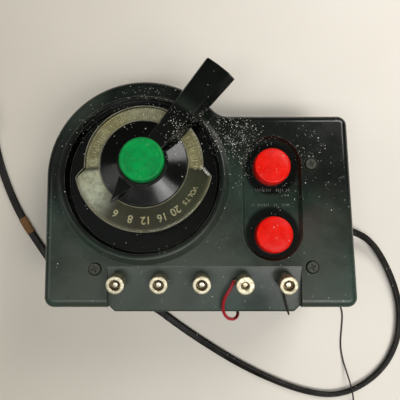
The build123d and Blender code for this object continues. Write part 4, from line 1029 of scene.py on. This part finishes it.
# painted light: the floor is painted lighter toward +X and darker toward -X
across = paper.node("ShaderNodeVectorMath", operation="DOT_PRODUCT")
paper.put(across.inputs[0], paper.place)
across.inputs[1].default_value = (1.0, 0.12, 0.0)
shade = paper.band(across.outputs["Value"], -0.22, 0.16)
lit = paper.mix(grain, (0.86, 0.815, 0.735), (0.835, 0.79, 0.71))
dim = paper.mix(grain, (0.61, 0.57, 0.49), (0.59, 0.55, 0.47))
paper.feed("Base Color", paper.mix(shade, dim, lit))
paper.feed("Normal", paper.bump(paper.noise(60.0, 4.0), 0.0004, 0.2))
floor.data.materials.append(paper.material)

# sky: bright overhead toward the rear left, dim toward the front right and near the horizon
SKY_BRIGHT, SKY_DARK, SKY_LOW = 0.30, 0.02, 0.07
world = bpy.data.worlds.new("studio")
bpy.context.scene.world = world
world.use_nodes = True
sky = world.node_tree
direction = sky.nodes.new("ShaderNodeTexCoord").outputs["Generated"]


def sky_math(operation, first, second):
    made = sky.nodes.new("ShaderNodeMath")
    made.operation = operation
    for socket, value in zip(made.inputs, (first, second)):
        if isinstance(value, bpy.types.NodeSocket):
            sky.links.new(value, socket)
        else:
            socket.default_value = value
    return made.outputs[0]


def sky_band(value, low, high, out_low, out_high):
    made = sky.nodes.new("ShaderNodeMapRange")
    made.interpolation_type = "SMOOTHSTEP"
    sky.links.new(value, made.inputs[0])
    for socket, number in zip(list(made.inputs)[1:5], (low, high, out_low, out_high)):
        socket.default_value = number
    return made.outputs[0]


heading = sky.nodes.new("ShaderNodeVectorMath")
heading.operation = "DOT_PRODUCT"
sky.links.new(direction, heading.inputs[0])
heading.inputs[1].default_value = (0.65, 0.75, 0.0)
parts = sky.nodes.new("ShaderNodeSeparateXYZ")
sky.links.new(direction, parts.inputs[0])
overhead = sky_band(heading.outputs["Value"], -0.20, 0.48, SKY_BRIGHT, SKY_DARK)
height = sky_band(parts.outputs[2], 0.45, 0.88, 0.0, 1.0)
strength = sky_math("ADD", sky_math("MULTIPLY", height, overhead), SKY_LOW)
background = sky.nodes["Background"]
background.inputs["Color"].default_value = (1.0, 0.985, 0.96, 1.0)
sky.links.new(strength, background.inputs["Strength"])


def soft_light(name, place, target, size, power, colour=(1.0, 0.98, 0.95)):
    data = bpy.data.lights.new(name, "AREA")
    data.shape = "RECTANGLE"
    data.size, data.size_y = size
    data.energy = power
    data.color = colour
    lamp = bpy.data.objects.new(name, data)
    lamp.location = place
    lamp.rotation_euler = (Vector(target) - Vector(place)).to_track_quat("-Z", "Y").to_euler()
    bpy.context.scene.collection.objects.link(lamp)


AIM_Z = 0.07


def window(name, azimuth, elevation, size, power):
    """Bright window seen from the object at an azimuth and elevation, a metre away."""
    across, up = math.radians(azimuth), math.radians(elevation)
    place = (math.cos(across) * math.cos(up), math.sin(across) * math.cos(up), AIM_Z + math.sin(up))
    soft_light(name, place, (0, 0, AIM_Z), size, power)


window("key", 50.0, 39.0, (0.44, 0.42), 4.7)
window("window_rear_right", -38.0, 58.0, (0.44, 0.42), 2.9)
window("window_rear_left", 176.0, 45.0, (0.40, 0.40), 0.8)
soft_light("overhead", (0.0, -0.34, 1.35), (0, 0, 0.05), (1.2, 0.20), 5.8, (0.99, 0.99, 1.0))

CAMERA_Y, CAMERA_H, CAMERA_TILT, LENS_MM, SENSOR_MM = 8.29, 332.87, -1.8, 39.6, 36.0
camera_data = bpy.data.cameras.new("camera")
camera_data.lens = LENS_MM
camera_data.sensor_width = SENSOR_MM
camera_data.clip_start = 0.01
camera = bpy.data.objects.new("camera", camera_data)
camera.location = laid(0.0, CAMERA_Y, CAMERA_H)
camera.rotation_euler = (math.radians(CAMERA_TILT), 0.0, 0.0)
bpy.context.scene.collection.objects.link(camera)
bpy.context.scene.camera = camera
bpy.context.scene.view_settings.view_transform = "Standard"

bpy.context.view_layer.update()
